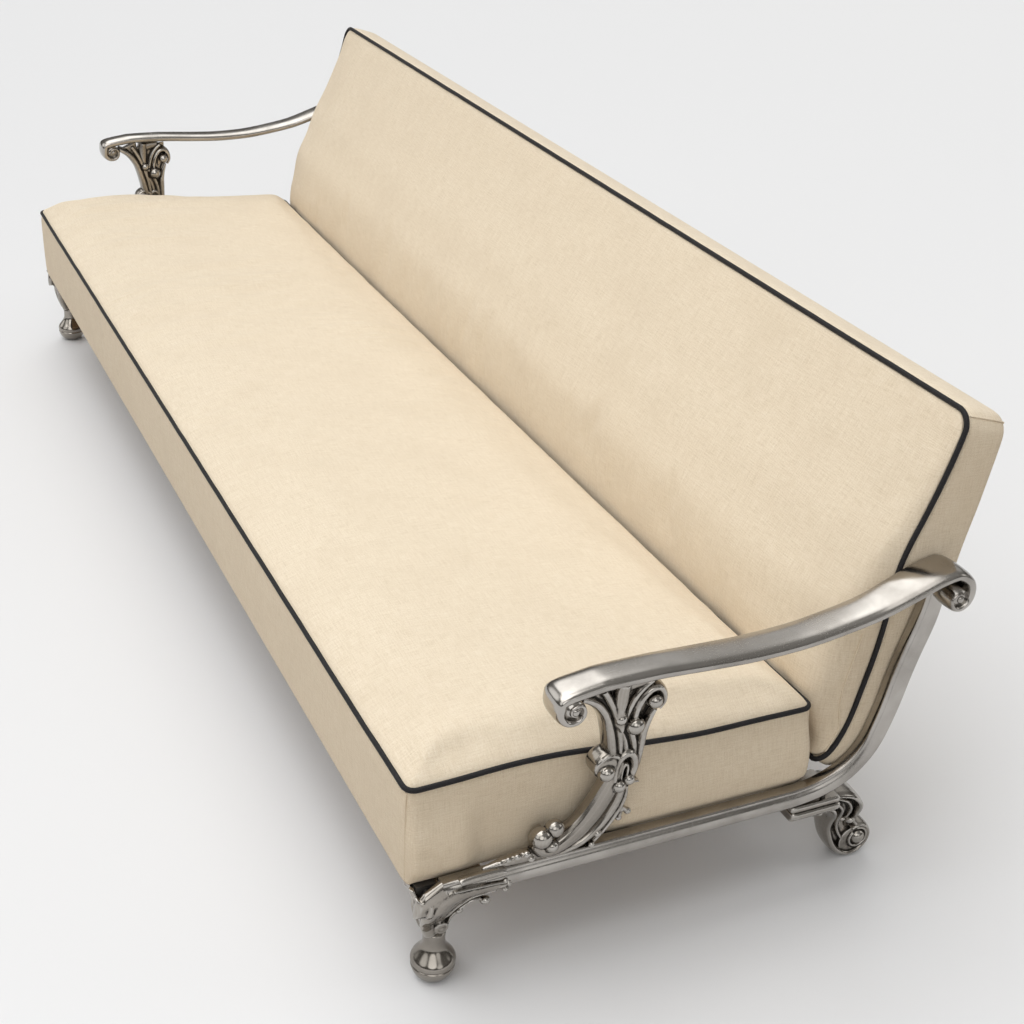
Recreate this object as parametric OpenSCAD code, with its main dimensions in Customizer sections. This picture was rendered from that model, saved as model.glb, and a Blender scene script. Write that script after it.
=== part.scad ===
// Three-seater sofa: one long box seat and a leaning back in piped linen,
// carried by two cast and polished metal side frames with scrolled arms.
// Millimetres. X runs along the length, Y from front to rear, Z up from the floor.
// The origin lies on the floor under the middle of the sofa.

/* [Seat] */
// Length of the seat cushion between its two ends
seat_len = 2520; // [1900:1:2900]
// Depth of the seat cushion from front to rear
seat_deep = 648; // [590:1:700]
// Thickness of the seat boxing at the front, from its underside up to the piping
seat_thick = 155; // [110:1:190]
// Fall of the piping from the front of the seat to the rear
seat_fall = 10; // [0:1:20]
// Rise of the crowned top above the piping
seat_crown = 25; // [10:1:40]
// Corner radius of the seat seen from above
seat_corner_r = 18; // [12:1:40]
// How far the boxing is drawn in below the piping
seat_draw = 3; // [1:1:14]
// How far the rear edge is drawn in at mid length
seat_rear_draw = 9; // [0:1:20]

/* [Back] */
// How far the back stands out past each end of the seat
back_overhang = 8; // [6:1:12]
// Height of the lowest edge of the back above the side rails
back_low = 20; // [18:1:60]
// Height from the lowest to the highest edge of the back
back_tall = 558; // [490:1:620]
// How far the front of the back leans rearwards between those edges
back_run = 169; // [130:1:210]
// Depth of the back behind its piping at the thickest place
back_thick = 122; // [105:1:150]
// Fullness of the front face at mid length
back_crown = 22; // [8:1:36]
// Fullness of the lumbar roll in front of the piping
lumbar_bulge = 68; // [40:1:80]
// Radius of the upper corners seen from the front
back_corner_r = 30; // [20:1:60]
// Radius of the lower corners seen from the front
back_foot_r = 16; // [15:1:40]
// Fall of the top boxing from the piping to the rear edge
top_fall = 21; // [5:1:40]
// Fall of the underside of the back from the piping to the rear edge
foot_fall = 18; // [0:1:24]

/* [Piping] */
// Diameter of the contrasting piping
piping_d = 8; // [6:0.5:11]

/* [Side frames] */
// Height of the top of the side rail above the floor
rail_top = 200; // [185:1:230]
// Height of the side rail
rail_tall = 32; // [26:1:38]
// Thickness of the bent bar, across the sofa
bar_thick = 20; // [17:1:24]
// Width of the upright seen from the side
upright_wide = 36; // [32:1:42]
// Distance from the front of the seat to the front end of the rail
rail_setback = 48; // [44:1:66]
// Distance from the front of the seat to the start of the upward bend
bend_y = 614; // [600:1:628]
// How far the front edge of the upright leans rearwards
upright_run = 178; // [168:1:184]

/* [Arms] */
// Width of the arm band
arm_wide = 44; // [36:1:56]
// Thickness of the arm band
arm_thick = 15; // [12:1:18]
// Height of the top of the arm above the rail, over the bracket
arm_height = 309; // [270:1:350]
// Rise of the arm from there to its rear end
arm_rise = 56; // [40:1:75]
// How far the arm widens inwards over the upright
arm_flare = 21; // [14:1:21]
// Sideways gap between the end of the back and the narrow part of the arm
arm_side = 23; // [23:1:30]
// Distance from the front of the seat to the eye of the front scroll
front_eye_y = 202; // [190:1:214]
// Distance of the eye of the rear scroll behind the front of the upright
scroll_past = 19; // [16:1:24]
// Outer radius of the front scroll
front_scroll_r = 26; // [22:1:29]
// Outer radius of the rear scroll
rear_scroll_r = 24; // [21:1:27]

/* [Arm brackets] */
// Width of the bracket across the sofa
bracket_wide = 28; // [24:1:32]
// Depth of the bracket from its foot scroll to its rear scroll
bracket_deep = 170; // [160:1:180]
// Distance from the front of the seat to the foot scroll
bracket_y = 188; // [182:1:194]
// Radius of the largest pearl
pearl_r = 11; // [7:0.5:13]

/* [Legs] */
// Diameter of the ball feet
ball_d = 66; // [58:1:74]
// Height of the ball foot with its neck
ball_tall = 84; // [78:1:90]
// Distance of the feet inwards from the outer face of the side bar
foot_inset = 43; // [40:1:50]
// Distance from the front of the seat to the middle of the ball foot
foot_y = 56; // [52:1:62]
// Width of the knee across the sofa
knee_wide = 62; // [56:1:64]
// Length of the knee along the rail
knee_long = 146; // [120:1:160]
// Width of the rear leg across the sofa
rear_leg_wide = 40; // [30:1:46]
// Outer radius of the rear volute foot
volute_r = 28; // [22:1:32]
// Length of the rear leg cap along the rail
cap_long = 88; // [80:1:96]

/* [Seat deck] */
// Distance of the deck surface below the top of the side rails
deck_drop = 12; // [8:1:14]
// Depth of the front and rear rails
angle_deep = 30; // [26:1:40]
// Wall of the front and rear rails
angle_wall = 4; // [3:0.5:5]
// Distance of the front and rear rails inside the seat edges
angle_inset = 16; // [12:1:24]
// Width of one deck slat
slat_wide = 70; // [50:1:90]
// Largest gap between two slats
slat_gap = 55; // [30:1:80]
// Height of the centre stretcher
stretcher_tall = 14; // [12:1:20]
// Depth of the centre stretcher
stretcher_deep = 50; // [30:1:70]

/* [Back frame] */
// Thickness of the wooden back frame
wood_thick = 22; // [18:1:24]
// Height of the wooden back frame along its lean
wood_tall = 390; // [350:1:400]
// Width of the wooden rails and posts
wood_wide = 60; // [45:1:70]
// Distance of the wooden frame inside the ends of the back
wood_inset = 16; // [10:1:24]
// Largest clear gap between two posts
post_gap = 220; // [160:1:240]
// Width of one webbing strap
strap_wide = 50; // [40:1:60]
// Thickness of the webbing
strap_thick = 2; // [1:0.5:2.5]

/* [Fasteners] */
// Diameter of the studs in the castings
stud_d = 8; // [6:0.5:9]
// Length of a stud on each side of its joint
stud_hold = 10; // [8:1:11]
// Diameter of the bolts that carry the back
bolt_d = 10; // [8:0.5:12]

/* [Fits] */
// Clearance between pieces that sit together
fit = 0.3; // [0.2:0.05:0.5]
// Gap behind the seat, in front of the back
seat_back_gap = 2.5; // [1.5:0.5:6]

/* [Hidden] */
$fn = 40;

linen = "#d9c8a8";
navy = "#20242e";
nickel = "#9c9890";
beech = "#c9a26b";
jute = "#b99a6b";
steel = "#6e6c68";

// Outline of the back seen from the side, from its foot to its top: places along the
// piping, fullness in front of it and depth behind it
piping_y_shares = [0, 0.14, 0.23, 0.32, 0.39, 0.46, 0.51, 0.525, 0.585, 0.74, 0.89, 1];
piping_z_shares = [0, 0.03, 0.065, 0.13, 0.22, 0.32, 0.43, 0.53, 0.62, 0.74, 0.87, 1];
bulge_shares = [0, 0.15, 0.33, 0.76, 0.98, 1, 0.92, 0.57, 0.38, 0.23, 0.12, 0];
depth_shares = [0.34, 0.36, 0.4, 0.52, 0.68, 0.77, 0.86, 0.95, 0.94, 0.84, 0.72, 0.64];

// Places that several pieces share
over = 1;
back_len = seat_len + 2 * back_overhang;
piping_r = piping_d / 2;
piping_sink = piping_r * 0.8;
piping_seat = piping_sink + piping_r + fit;
rail_low = rail_top - rail_tall;
deck_top = rail_top - deck_drop;
deck_low = rail_low + fit;
angle_tall = deck_top - deck_low;
seat_low = deck_top + fit;
seat_edge_z = seat_low + seat_thick;
back_y = seat_deep + piping_r + seat_back_gap;
back_z = rail_top + back_low;
bar_in = back_len / 2 + fit;
bar_mid = bar_in + bar_thick / 2;
bar_out = bar_in + bar_thick;
foot_x = bar_out - foot_inset;
arm_under = rail_top + arm_height - arm_thick;
arm_mid_z = arm_under + arm_thick / 2;
arm_in = back_len / 2 + arm_side;
arm_mid_x = arm_in + arm_wide / 2;
front_eye_z = arm_mid_z - front_scroll_r * 1.06;
rear_eye_y = bend_y + upright_run + scroll_past;
arm_span = rear_eye_y - front_eye_y;
rear_eye_z = arm_mid_z + arm_rise * 0.31;
stud_r = stud_d / 2;

// The sofa is centred on the origin from its most forward to its most rearward point
front_reach = piping_r - piping_sink;
rear_reach = back_y + back_run + back_thick * depth_shares[len(depth_shares) - 1];
middle_y = (rear_reach - front_reach) / 2;
module placed() {
  translate([0, -middle_y, 0])
    children();
}
module left_hand() {
  mirror([1, 0, 0])
    children();
}

// Points on a smooth curve through the given rows
function curve_at(a, b, c, d, t) =
  (2 * b + (c - a) * t + (2 * a - 5 * b + 4 * c - d) * t * t
    + (3 * b - a - 3 * c + d) * t * t * t) / 2;
function smooth(rows, steps) =
  let (last = len(rows) - 1)
  concat(
    [for (i = [0 : last - 1], s = [0 : steps - 1])
      curve_at(rows[max(i - 1, 0)], rows[i], rows[i + 1], rows[min(i + 2, last)], s / steps)],
    [rows[last]]);
function unit(v) = v / norm(v);
function tangent(line, i) = unit(line[min(i + 1, len(line) - 1)] - line[max(i - 1, 0)]);
function reversed(list) = [for (i = [len(list) - 1 : -1 : 0]) list[i]];

// Outline of a ribbon from rows of place and width
function ribbon_side(rows, side) =
  let (line = [for (r = rows) [r[0], r[1]]])
  [for (i = [0 : len(rows) - 1])
    let (t = tangent(line, i))
    line[i] + side * rows[i][2] / 2 * [-t[1], t[0]]];
function ribbon(rows) = concat(ribbon_side(rows, -1), reversed(ribbon_side(rows, 1)));

// A side view, with Y and Z, spread across the sofa about x
module across(x, wide) {
  translate([x - wide / 2, 0, 0])
    rotate([90, 0, 90])
      linear_extrude(height = wide)
        children();
}

// A front view, with X and Z, spread from y towards the rear
module lengthways(y, long) {
  translate([0, y + long, 0])
    rotate([90, 0, 0])
      linear_extrude(height = long)
        children();
}

module ribbon_across(x, wide, rows, steps) {
  across(x, wide)
    polygon(ribbon(smooth(rows, steps)));
}

module pearl(x, y, z, r) {
  translate([x, y, z])
    sphere(r = r);
}

module rod_x(x, y, z, r, long) {
  translate([x, y, z])
    rotate([0, 90, 0])
      cylinder(r = r, h = long);
}

// A closed solid through rings with equal counts of points
function ring_faces(rings, count) =
  [for (i = [0 : rings - 2], j = [0 : count - 1])
    let (k = (j + 1) % count)
    each [
      [i * count + j, (i + 1) * count + j, (i + 1) * count + k],
      [i * count + j, (i + 1) * count + k, i * count + k]
    ]];
module loft(rings) {
  count = len(rings[0]);
  polyhedron(
    points = [for (ring = rings) each ring],
    faces = concat(
      [[for (j = [0 : count - 1]) j]],
      ring_faces(len(rings), count),
      [[for (j = [count - 1 : -1 : 0]) (len(rings) - 1) * count + j]]));
}

// The same, each end closed by triangles that meet in its middle
function middle(ring) = [for (c = [1 / len(ring)]) for (k = [0 : 2]) c * sum_of(ring, k)];
function sum_of(ring, k) = [for (p = ring) p[k]] * [for (p = ring) 1];
module domed_loft(rings) {
  count = len(rings[0]);
  last = (len(rings) - 1) * count;
  total = len(rings) * count;
  polyhedron(
    points = concat([for (ring = rings) each ring], [middle(rings[0]), middle(rings[len(rings) - 1])]),
    faces = concat(
      [for (j = [0 : count - 1]) [total, j, (j + 1) % count]],
      ring_faces(len(rings), count),
      [for (j = [0 : count - 1]) [total + 1, last + (j + 1) % count, last + j]]));
}

// A round cord along a closed line, each of its points with the direction that it faces
module closed_cord(line, facing, r, sides) {
  n = len(line);
  points = [for (i = [0 : n - 1])
    let (
      t = unit(line[(i + 1) % n] - line[(i + n - 1) % n]),
      side = unit(cross(t, facing[i])),
      up = cross(side, t))
    for (j = [0 : sides - 1])
      let (a = 360 * j / sides)
      line[i] + r * (cos(a) * up + sin(a) * side)];
  faces = [for (i = [0 : n - 1], j = [0 : sides - 1])
    let (m = (i + 1) % n, k = (j + 1) % sides)
    each [
      [i * sides + j, m * sides + k, m * sides + j],
      [i * sides + j, i * sides + k, m * sides + k]
    ]];
  polyhedron(points = points, faces = faces);
}

// Places round a rounded rectangle, anticlockwise from its lower right corner
corner_steps = 4;
long_steps = 10;
deep_steps = 4;
function corner_turn(cx, cy, r, start) =
  [for (i = [0 : corner_steps])
    let (a = start + 90 * i / corner_steps)
    [cx + r * cos(a), cy + r * sin(a)]];
function between(a, b, steps) = [for (i = [1 : steps - 1]) a + (b - a) * i / steps];
function rounded_outline(x, low, high, low_r, high_r) =
  let (
    c1 = corner_turn(x - low_r, low + low_r, low_r, -90),
    c2 = corner_turn(x - high_r, high - high_r, high_r, 0),
    c3 = corner_turn(high_r - x, high - high_r, high_r, 90),
    c4 = corner_turn(low_r - x, low + low_r, low_r, 180))
  concat(
    c1, between(c1[corner_steps], c2[0], deep_steps),
    c2, between(c2[corner_steps], c3[0], long_steps),
    c3, between(c3[corner_steps], c4[0], deep_steps),
    c4, between(c4[corner_steps], c1[0], long_steps));

// Seat

// Share of the draw-in of the rear edge that applies at a share of the half length
function draw_in(u) = 1 - pow(abs(u), 4);

// Smallest corner radius of the crown, as a share of the corner radius of the seat
seat_corner_share = 0.35;

// One level of the seat, with its rear edge drawn in at mid length and a share of
// the fall towards the rear
function seat_ring(inset, z, fall_share = 1) =
  let (
    half_x = seat_len / 2 - inset,
    r = max(seat_corner_r - inset, seat_corner_r * seat_corner_share))
  [for (p = rounded_outline(half_x, inset, seat_deep - inset, r, r))
    let (rear = max(p[1] * 2 / seat_deep - 1, 0))
    [
      p[0],
      p[1] - seat_rear_draw * draw_in(p[0] / half_x) * rear,
      z - seat_fall * fall_share * p[1] / seat_deep
    ]];

crown_inset_shares = [0.05, 0.14, 0.3, 0.5, 0.75, 0.94];
function crown_rise(share) = 1 - pow(1 - share, 2.6);

module seat_cushion() {
  ledge = seat_edge_z - piping_r - fit;
  shoulder = seat_edge_z + piping_r + fit;
  crown = seat_crown - piping_r - fit;
  middle = seat_deep / 2 - piping_seat;
  color(linen)
    domed_loft(concat(
      [
        seat_ring(seat_draw * 1.6, seat_low, 0),
        seat_ring(seat_draw, seat_low + seat_thick * 0.05, 0.05),
        seat_ring(seat_draw * 0.6, seat_low + seat_thick * 0.3, 0.3),
        seat_ring(seat_draw * 0.5, seat_low + seat_thick * 0.6, 0.6),
        seat_ring(0, ledge),
        seat_ring(piping_seat, ledge),
        seat_ring(piping_seat, shoulder)
      ],
      [for (s = crown_inset_shares)
        seat_ring(piping_seat + middle * s, shoulder + crown * crown_rise(s))]));
}

module seat_piping() {
  line = seat_ring(piping_sink, seat_edge_z);
  color(navy)
    closed_cord(line, [for (p = line) [0, 0, 1]], piping_r, 8);
}

// Back

back_steps = 2;
back_rows = smooth(
  [for (i = [0 : len(piping_y_shares) - 1])
    [
      back_z + back_tall * piping_z_shares[i],
      back_y + back_run * piping_y_shares[i],
      lumbar_bulge * bulge_shares[i],
      back_thick * depth_shares[i]
    ]], back_steps);
function column(i) = [for (row = back_rows) [row[0], row[i]]];
edge_table = column(1);
bulge_table = column(2);
depth_table = column(3);
back_top = back_z + back_tall;
back_last = len(back_rows) - 1;
function edge_y(z) = lookup(z, edge_table);
function rear_y(z) = edge_y(z) + lookup(z, depth_table);

// Level step that lies a given distance square to the leaning line of the piping
function level(z, step) =
  let (a = max(z - over, back_z), b = min(z + over, back_top))
  step * norm([1, (edge_y(b) - edge_y(a)) / (b - a)]);

// Front of the shell, where the lining of the pad and the piping lie against it
shell_front = [for (row = back_rows) [row[0], row[1] + level(row[0], piping_seat)]];

// Front face at height z and a share u of the half length, kept behind the seat
function face_y(z, u) =
  let (
    full = sin(180 * (z - back_z) / back_tall) * (1 - pow(abs(u), 3)),
    y = edge_y(z) - lookup(z, bulge_table) - back_crown * full)
  max(y, back_y - seat_rear_draw * draw_in(u));

// How far a rounded corner cuts off an edge at a distance past the start of its arc
function corner_cut(past, r) = r - sqrt(max(r * r - pow(max(past, 0), 2), 0));

// Height of a row of the lining between its lowest and highest place, never on another row
row_apart = fit / 2;
function lining_z(i, low, high) =
  i == 0 ? low : i == back_last ? high
    : min(max(back_rows[i][0], low + i * row_apart), high - (back_last - i) * row_apart);

face_steps = 14;
function pad_section(x) =
  let (
    half = back_len / 2,
    high_r = back_corner_r,
    low_r = back_foot_r,
    u = x / half,
    low = back_z + piping_seat
      + corner_cut(abs(x) - half + low_r, low_r - piping_seat),
    high = back_top - piping_seat
      - corner_cut(abs(x) - half + high_r, high_r - piping_seat))
  concat(
    [for (i = [0 : face_steps])
      let (z = low + (high - low) * i / face_steps)
      [x, face_y(z, u), z]],
    [for (i = [back_last : -1 : 0])
      let (z = lining_z(i, low, high))
      [x, lookup(z, shell_front) - level(z, fit), z]]);

pad_shares = [0.08, 0.28, 0.5, 0.7, 0.86, 0.95];
module back_pad() {
  half = back_len / 2;
  ends = [for (a = [0, 35, 65]) half - back_corner_r + (back_corner_r - piping_seat) * sin(a)];
  steps = concat(pad_shares * half, ends, [half - piping_seat]);
  stations = concat(-reversed(steps), steps);
  color(linen)
    loft([for (x = stations) pad_section(x)]);
}

// Straight part of the piping at one end of the back, through every row of the outline
function side_run(side) =
  let (
    rows = [for (row = back_rows)
      if (row[0] > back_z + back_foot_r + over && row[0] < back_top - back_corner_r - over)
        [side * (back_len / 2 - piping_sink), row[0]]])
  side > 0 ? rows : reversed(rows);

module back_piping() {
  inset = piping_sink;
  outline = rounded_outline(back_len / 2 - inset, back_z + inset, back_top - inset,
    back_foot_r - inset, back_corner_r - inset);
  rest = [for (i = [corner_steps + 1 : len(outline) - 1]) outline[i]];
  round = concat(
    [for (i = [0 : corner_steps]) outline[i]],
    side_run(1),
    [for (p = rest) if (p[1] > back_top - back_corner_r - over) p],
    side_run(-1),
    [for (p = rest) if (p[1] < back_z + back_foot_r + over) p]);
  line = [for (p = round) [p[0], lookup(p[1], shell_front) - level(p[1], piping_seat - inset), p[1]]];
  color(navy)
    closed_cord(line, [for (p = line) [0, -1, 0]], piping_r, 8);
}

// Middle plane of the wooden frame, half way into the shell at two heights
wood_low_z = back_z + back_tall * 0.2;
wood_high_z = back_z + back_tall * 0.9;
function shell_mid(z) = (edge_y(z) + level(z, piping_seat) + rear_y(z)) / 2;
wood_mid = [(shell_mid(wood_low_z) + shell_mid(wood_high_z)) / 2, (wood_low_z + wood_high_z) / 2];
wood_lean = atan2(shell_mid(wood_high_z) - shell_mid(wood_low_z), wood_high_z - wood_low_z);
wood_len = back_len - 2 * wood_inset;
module leaning() {
  translate([0, wood_mid[0], wood_mid[1]])
    rotate([-wood_lean, 0, 0])
      children();
}

// A box centred on the middle plane of the wooden frame
module panel(x, up, long, thick, tall, forward = 0) {
  translate([x - long / 2, -thick / 2 - forward, up - tall / 2])
    cube([long, thick, tall]);
}

posts = ceil((wood_len - wood_wide) / (post_gap + wood_wide)) + 1;
post_pitch = (wood_len - wood_wide) / (posts - 1);
bolt_up_shares = [-0.3, -0.15];
bolt_head_tall = bolt_d * 0.6;

module back_shell() {
  half = back_len / 2;
  front = [for (p = shell_front) [p[1], p[0]]];
  rear = [for (i = [0 : back_last])
    let (row = back_rows[i])
    [row[1] + row[3], row[0] - (i == back_last ? top_fall : i == 0 ? foot_fall : 0)]];
  color(linen)
    difference() {
      intersection() {
        across(0, back_len)
          polygon(concat(front, reversed(rear)));
        lengthways(back_y - over, back_run + back_thick + 2 * over)
          polygon(rounded_outline(half, back_z - foot_fall, back_top, back_foot_r, back_corner_r));
      }
      leaning()
        panel(0, 0, wood_len + 2 * fit, wood_thick + 2 * (strap_thick + fit), wood_tall + 2 * fit);
      leaning()
        for (side = [-1, 1], s = bolt_up_shares)
          rod_x(side > 0 ? half - wood_inset - over : -half - over, 0, wood_tall * s,
            bolt_d / 2 + fit, wood_inset + 2 * over);
    }
}

module back_frame() {
  color(beech)
    leaning()
      difference() {
        union() {
          for (side = [-1, 1])
            panel(0, side * (wood_tall - wood_wide) / 2, wood_len, wood_thick, wood_wide);
          for (i = [0 : posts - 1])
            panel(i * post_pitch - (wood_len - wood_wide) / 2, 0, wood_wide, wood_thick, wood_tall);
        }
        for (side = [-1, 1], s = bolt_up_shares)
          rod_x(side > 0 ? wood_len / 2 - wood_wide - over : -wood_len / 2 - over, 0,
            wood_tall * s, bolt_d / 2 + fit, wood_wide + 2 * over);
      }
}

module back_webbing() {
  color(jute)
    leaning()
      for (i = [0 : posts - 2])
        panel((i + 0.5) * post_pitch - (wood_len - wood_wide) / 2, 0, strap_wide, strap_thick,
          wood_tall - wood_wide, wood_thick / 2 + strap_thick / 2);
}

// The bolts run from inside the end posts into the uprights
bolt_reach = bar_in + bar_thick * 0.6;
module back_bolts() {
  head_x = wood_len / 2 - wood_wide - bolt_head_tall - fit;
  color(steel)
    leaning()
      for (side = [0, 1], s = bolt_up_shares)
        mirror([side, 0, 0]) {
          rod_x(head_x, 0, wood_tall * s, bolt_d / 2, bolt_reach - head_x);
          translate([head_x, 0, wood_tall * s])
            rotate([0, 90, 0])
              cylinder(r = bolt_d * 0.9, h = bolt_head_tall, $fn = 6);
        }
}

// Side frames

// Upper and inner edge of the bent bar, from the start of its bend to the arm, as
// shares of its run and its rise, and its widening towards the upright
bend_y_shares = [0, 0.23, 0.43, 0.56, 0.65, 0.71, 0.76, 0.81, 0.87, 0.95, 0.99, 1, 1];
bend_z_shares = [0, 0.015, 0.055, 0.11, 0.18, 0.27, 0.37, 0.5, 0.62, 0.76, 0.86, 0.94, 1];
bend_wide_shares = [0, 0, 0.1, 0.2, 0.4, 0.6, 0.8, 1, 1, 1, 1, 1, 1];
bend_narrow_shares = [1, 1, 1, 1, 1, 1, 1, 1, 1, 1, 0.95, 0.82, 0.68];
upright_top = arm_mid_z + arm_rise * 0.82 - arm_thick / 2 - fit;

module side_bar() {
  rise = upright_top - rail_top;
  rows = smooth(
    [for (i = [0 : len(bend_y_shares) - 1])
      [
        bend_y + upright_run * bend_y_shares[i],
        rail_top + rise * bend_z_shares[i],
        (rail_tall + (upright_wide - rail_tall) * bend_wide_shares[i]) * bend_narrow_shares[i]
      ]], 3);
  line = [for (r = rows) [r[0], r[1]]];
  last = len(rows) - 1;
  inner = [for (p = line) [p[0], min(p[1], upright_top)]];
  outer = [for (i = [0 : last])
    let (t = i == last ? [0, 1] : tangent(line, i))
    line[i] + rows[i][2] * [t[1], -t[0]]];
  color(nickel)
    across(bar_mid, bar_thick)
      polygon(concat([[rail_setback, rail_top]], inner, reversed(outer), [[rail_setback, rail_low]]));
}

// Places of the studs: under the arm, under the bracket, over the legs and at the rails
bracket_mid = bar_mid;
bracket_tall = arm_under - rail_top - 2 * fit;
bracket_top_x = arm_in + arm_wide * 0.36;
bracket_stud_y = bracket_y + bracket_deep * 0.24;
bracket_head_y = bracket_y + bracket_deep * 0.56;
upright_stud_y = bend_y + upright_run + stud_d * 1.6;
leg_front_y = foot_y - ball_d * 0.58;
leg_stud_y_shares = [0.42, 0.85];
cap_stud_y_shares = [0.3, 0.7];
rail_stud_z = (deck_low + deck_top) / 2;
stretcher_top = deck_low + angle_wall;
rail_stud_ys = [
  angle_inset + angle_deep / 2,
  seat_deep - angle_inset - angle_deep / 2
];

module stud_z(x, y, z, r, hold) {
  translate([x, y, z - hold])
    cylinder(r = r, h = 2 * hold);
}

module leg_stud_set(r, hold) {
  for (s = leg_stud_y_shares)
    stud_z(bar_mid, leg_front_y + knee_long * s, rail_low, r, hold);
  for (s = cap_stud_y_shares)
    stud_z(bar_mid, bend_y + cap_long * s, rail_low, r, hold);
}

module bracket_stud_set(r, hold) {
  stud_z(bar_mid, bracket_stud_y, rail_top, r, hold);
}

module arm_stud_set(r, hold) {
  stud_z(bracket_top_x, bracket_head_y, arm_under, r, hold);
  stud_z((arm_in - arm_flare + bar_out) / 2, upright_stud_y, upright_top, r, hold);
}

module rail_stud_set(r, hold) {
  for (y = rail_stud_ys)
    rod_x(bar_in - hold, y, rail_stud_z, r, 2 * hold);
  rod_x(bar_in - hold, seat_deep / 2, rail_stud_z, r, 2 * hold);
}

hole_r = stud_r + fit;
hole_hold = stud_hold + fit;

module side_frame() {
  difference() {
    side_bar();
    bracket_stud_set(hole_r, hole_hold);
    leg_stud_set(hole_r, hole_hold);
    arm_stud_set(hole_r, hole_hold);
    rail_stud_set(hole_r, hole_hold);
    leaning()
      for (s = bolt_up_shares)
        rod_x(bar_in - over, 0, wood_tall * s, bolt_d / 2 + fit, bar_thick * 0.6 + over + fit);
  }
}

// Arms

// Section of the band: across it, and through its thickness
band_x_shares = [-1, -0.86, 0, 0.86, 1, 1, 0.88, 0.45, -0.45, -0.88, -1];
band_z_shares = [-0.6, -1, -1, -1, -0.6, 0.3, 0.78, 1, 1, 0.78, 0.3];

// Line of the arm between its scrolls: share of the span and of the rise, and the
// share of the inward flare
arm_y_shares = [0.05, 0.09, 0.2, 0.26, 0.34, 0.45, 0.57, 0.67, 0.78, 0.86, 0.93, 0.97];
arm_z_shares = [-0.04, 0, 0, -0.03, -0.08, -0.125, -0.08, 0.06, 0.29, 0.57, 0.84, 0.95];
arm_flare_shares = [0, 0, 0.06, 0.14, 0.25, 0.36, 0.42, 0.46, 0.6, 0.86, 1, 1];

// Turns of the two scrolls: angle from the eye, share of the radius, of the thickness
// and of the flare
front_turn_angles = [420, 375, 330, 285, 240, 200, 160, 125];
front_turn_shares = [0.42, 0.47, 0.53, 0.61, 0.68, 0.75, 0.78, 0.84];
front_thick_shares = [0.4, 0.45, 0.52, 0.6, 0.68, 0.76, 0.86, 0.95];
rear_turn_angles = [95, 55, 15, -30, -75, -120, -165, -210, -250];
rear_turn_shares = [1.5, 1.15, 0.88, 0.76, 0.71, 0.66, 0.6, 0.53, 0.46];
rear_thick_shares = [1, 0.95, 0.85, 0.75, 0.68, 0.6, 0.54, 0.48, 0.42];
rear_flare_shares = [1, 0.25, -0.1, -0.2, -0.2, -0.2, -0.2, -0.2, -0.2];

function arm_row(y, z, flare, thick) = [y, z, arm_mid_x - flare / 2, arm_wide + flare, thick];
arm_rows = concat(
  [for (i = [0 : len(front_turn_angles) - 1])
    let (a = front_turn_angles[i], r = front_scroll_r * front_turn_shares[i])
    arm_row(front_eye_y + r * cos(a), front_eye_z + r * sin(a), 0,
      arm_thick * front_thick_shares[i])],
  [for (i = [0 : len(arm_y_shares) - 1])
    arm_row(front_eye_y + arm_span * arm_y_shares[i], arm_mid_z + arm_rise * arm_z_shares[i],
      arm_flare * arm_flare_shares[i], arm_thick)],
  [for (i = [0 : len(rear_turn_angles) - 1])
    let (a = rear_turn_angles[i], r = rear_scroll_r * rear_turn_shares[i])
    arm_row(rear_eye_y + r * cos(a), rear_eye_z + r * sin(a),
      arm_flare * rear_flare_shares[i], arm_thick * rear_thick_shares[i])]);

function band_ring(rows, i) =
  let (
    line = [for (r = rows) [r[0], r[1]]],
    t = tangent(line, i),
    row = rows[i])
  [for (j = [0 : len(band_x_shares) - 1])
    let (up = band_z_shares[j] * row[4] / 2)
    [row[2] + band_x_shares[j] * row[3] / 2, row[0] - t[1] * up, row[1] + t[0] * up]];

module arm() {
  rows = smooth(arm_rows, 2);
  color(nickel)
    difference() {
      loft([for (i = [0 : len(rows) - 1]) band_ring(rows, i)]);
      arm_stud_set(hole_r, hole_hold);
    }
}

// Arm brackets: cast ornament drawn from the side as ribbons, each row a place along
// the depth and the height of the bracket and a width

stem_shares = [
  [0.15, 0.095, 0.05], [0.19, 0.13, 0.06], [0.13, 0.163, 0.08], [0.035, 0.15, 0.105],
  [0, 0.09, 0.105], [0.06, 0.037, 0.095], [0.2, 0.028, 0.095], [0.35, 0.075, 0.12],
  [0.48, 0.177, 0.14], [0.57, 0.313, 0.14], [0.595, 0.442, 0.13], [0.6, 0.56, 0.14],
  [0.625, 0.663, 0.175]
];
front_branch_shares = [
  [0.61, 0.61, 0.15], [0.54, 0.74, 0.12], [0.44, 0.843, 0.095], [0.34, 0.918, 0.075],
  [0.26, 0.96, 0.06]
];
rear_branch_shares = [
  [0.635, 0.653, 0.14], [0.72, 0.748, 0.12], [0.79, 0.843, 0.095], [0.86, 0.915, 0.075],
  [0.947, 0.93, 0.065], [0.994, 0.878, 0.06], [0.947, 0.837, 0.053]
];
bud_shares = [[0.63, 0.64, 0.05], [0.624, 0.76, 0.1], [0.63, 0.867, 0.06], [0.64, 0.96, 0.08]];
rib_shares = [
  [0.306, 0.024, 0.047], [0.48, 0.088, 0.053], [0.61, 0.21, 0.053], [0.68, 0.34, 0.053],
  [0.7, 0.442, 0.047]
];
loop_shares = [
  [0.706, 0.4, 0.041], [0.776, 0.449, 0.047], [0.753, 0.517, 0.047], [0.67, 0.537, 0.047],
  [0.61, 0.49, 0.047], [0.635, 0.43, 0.041]
];
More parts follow.
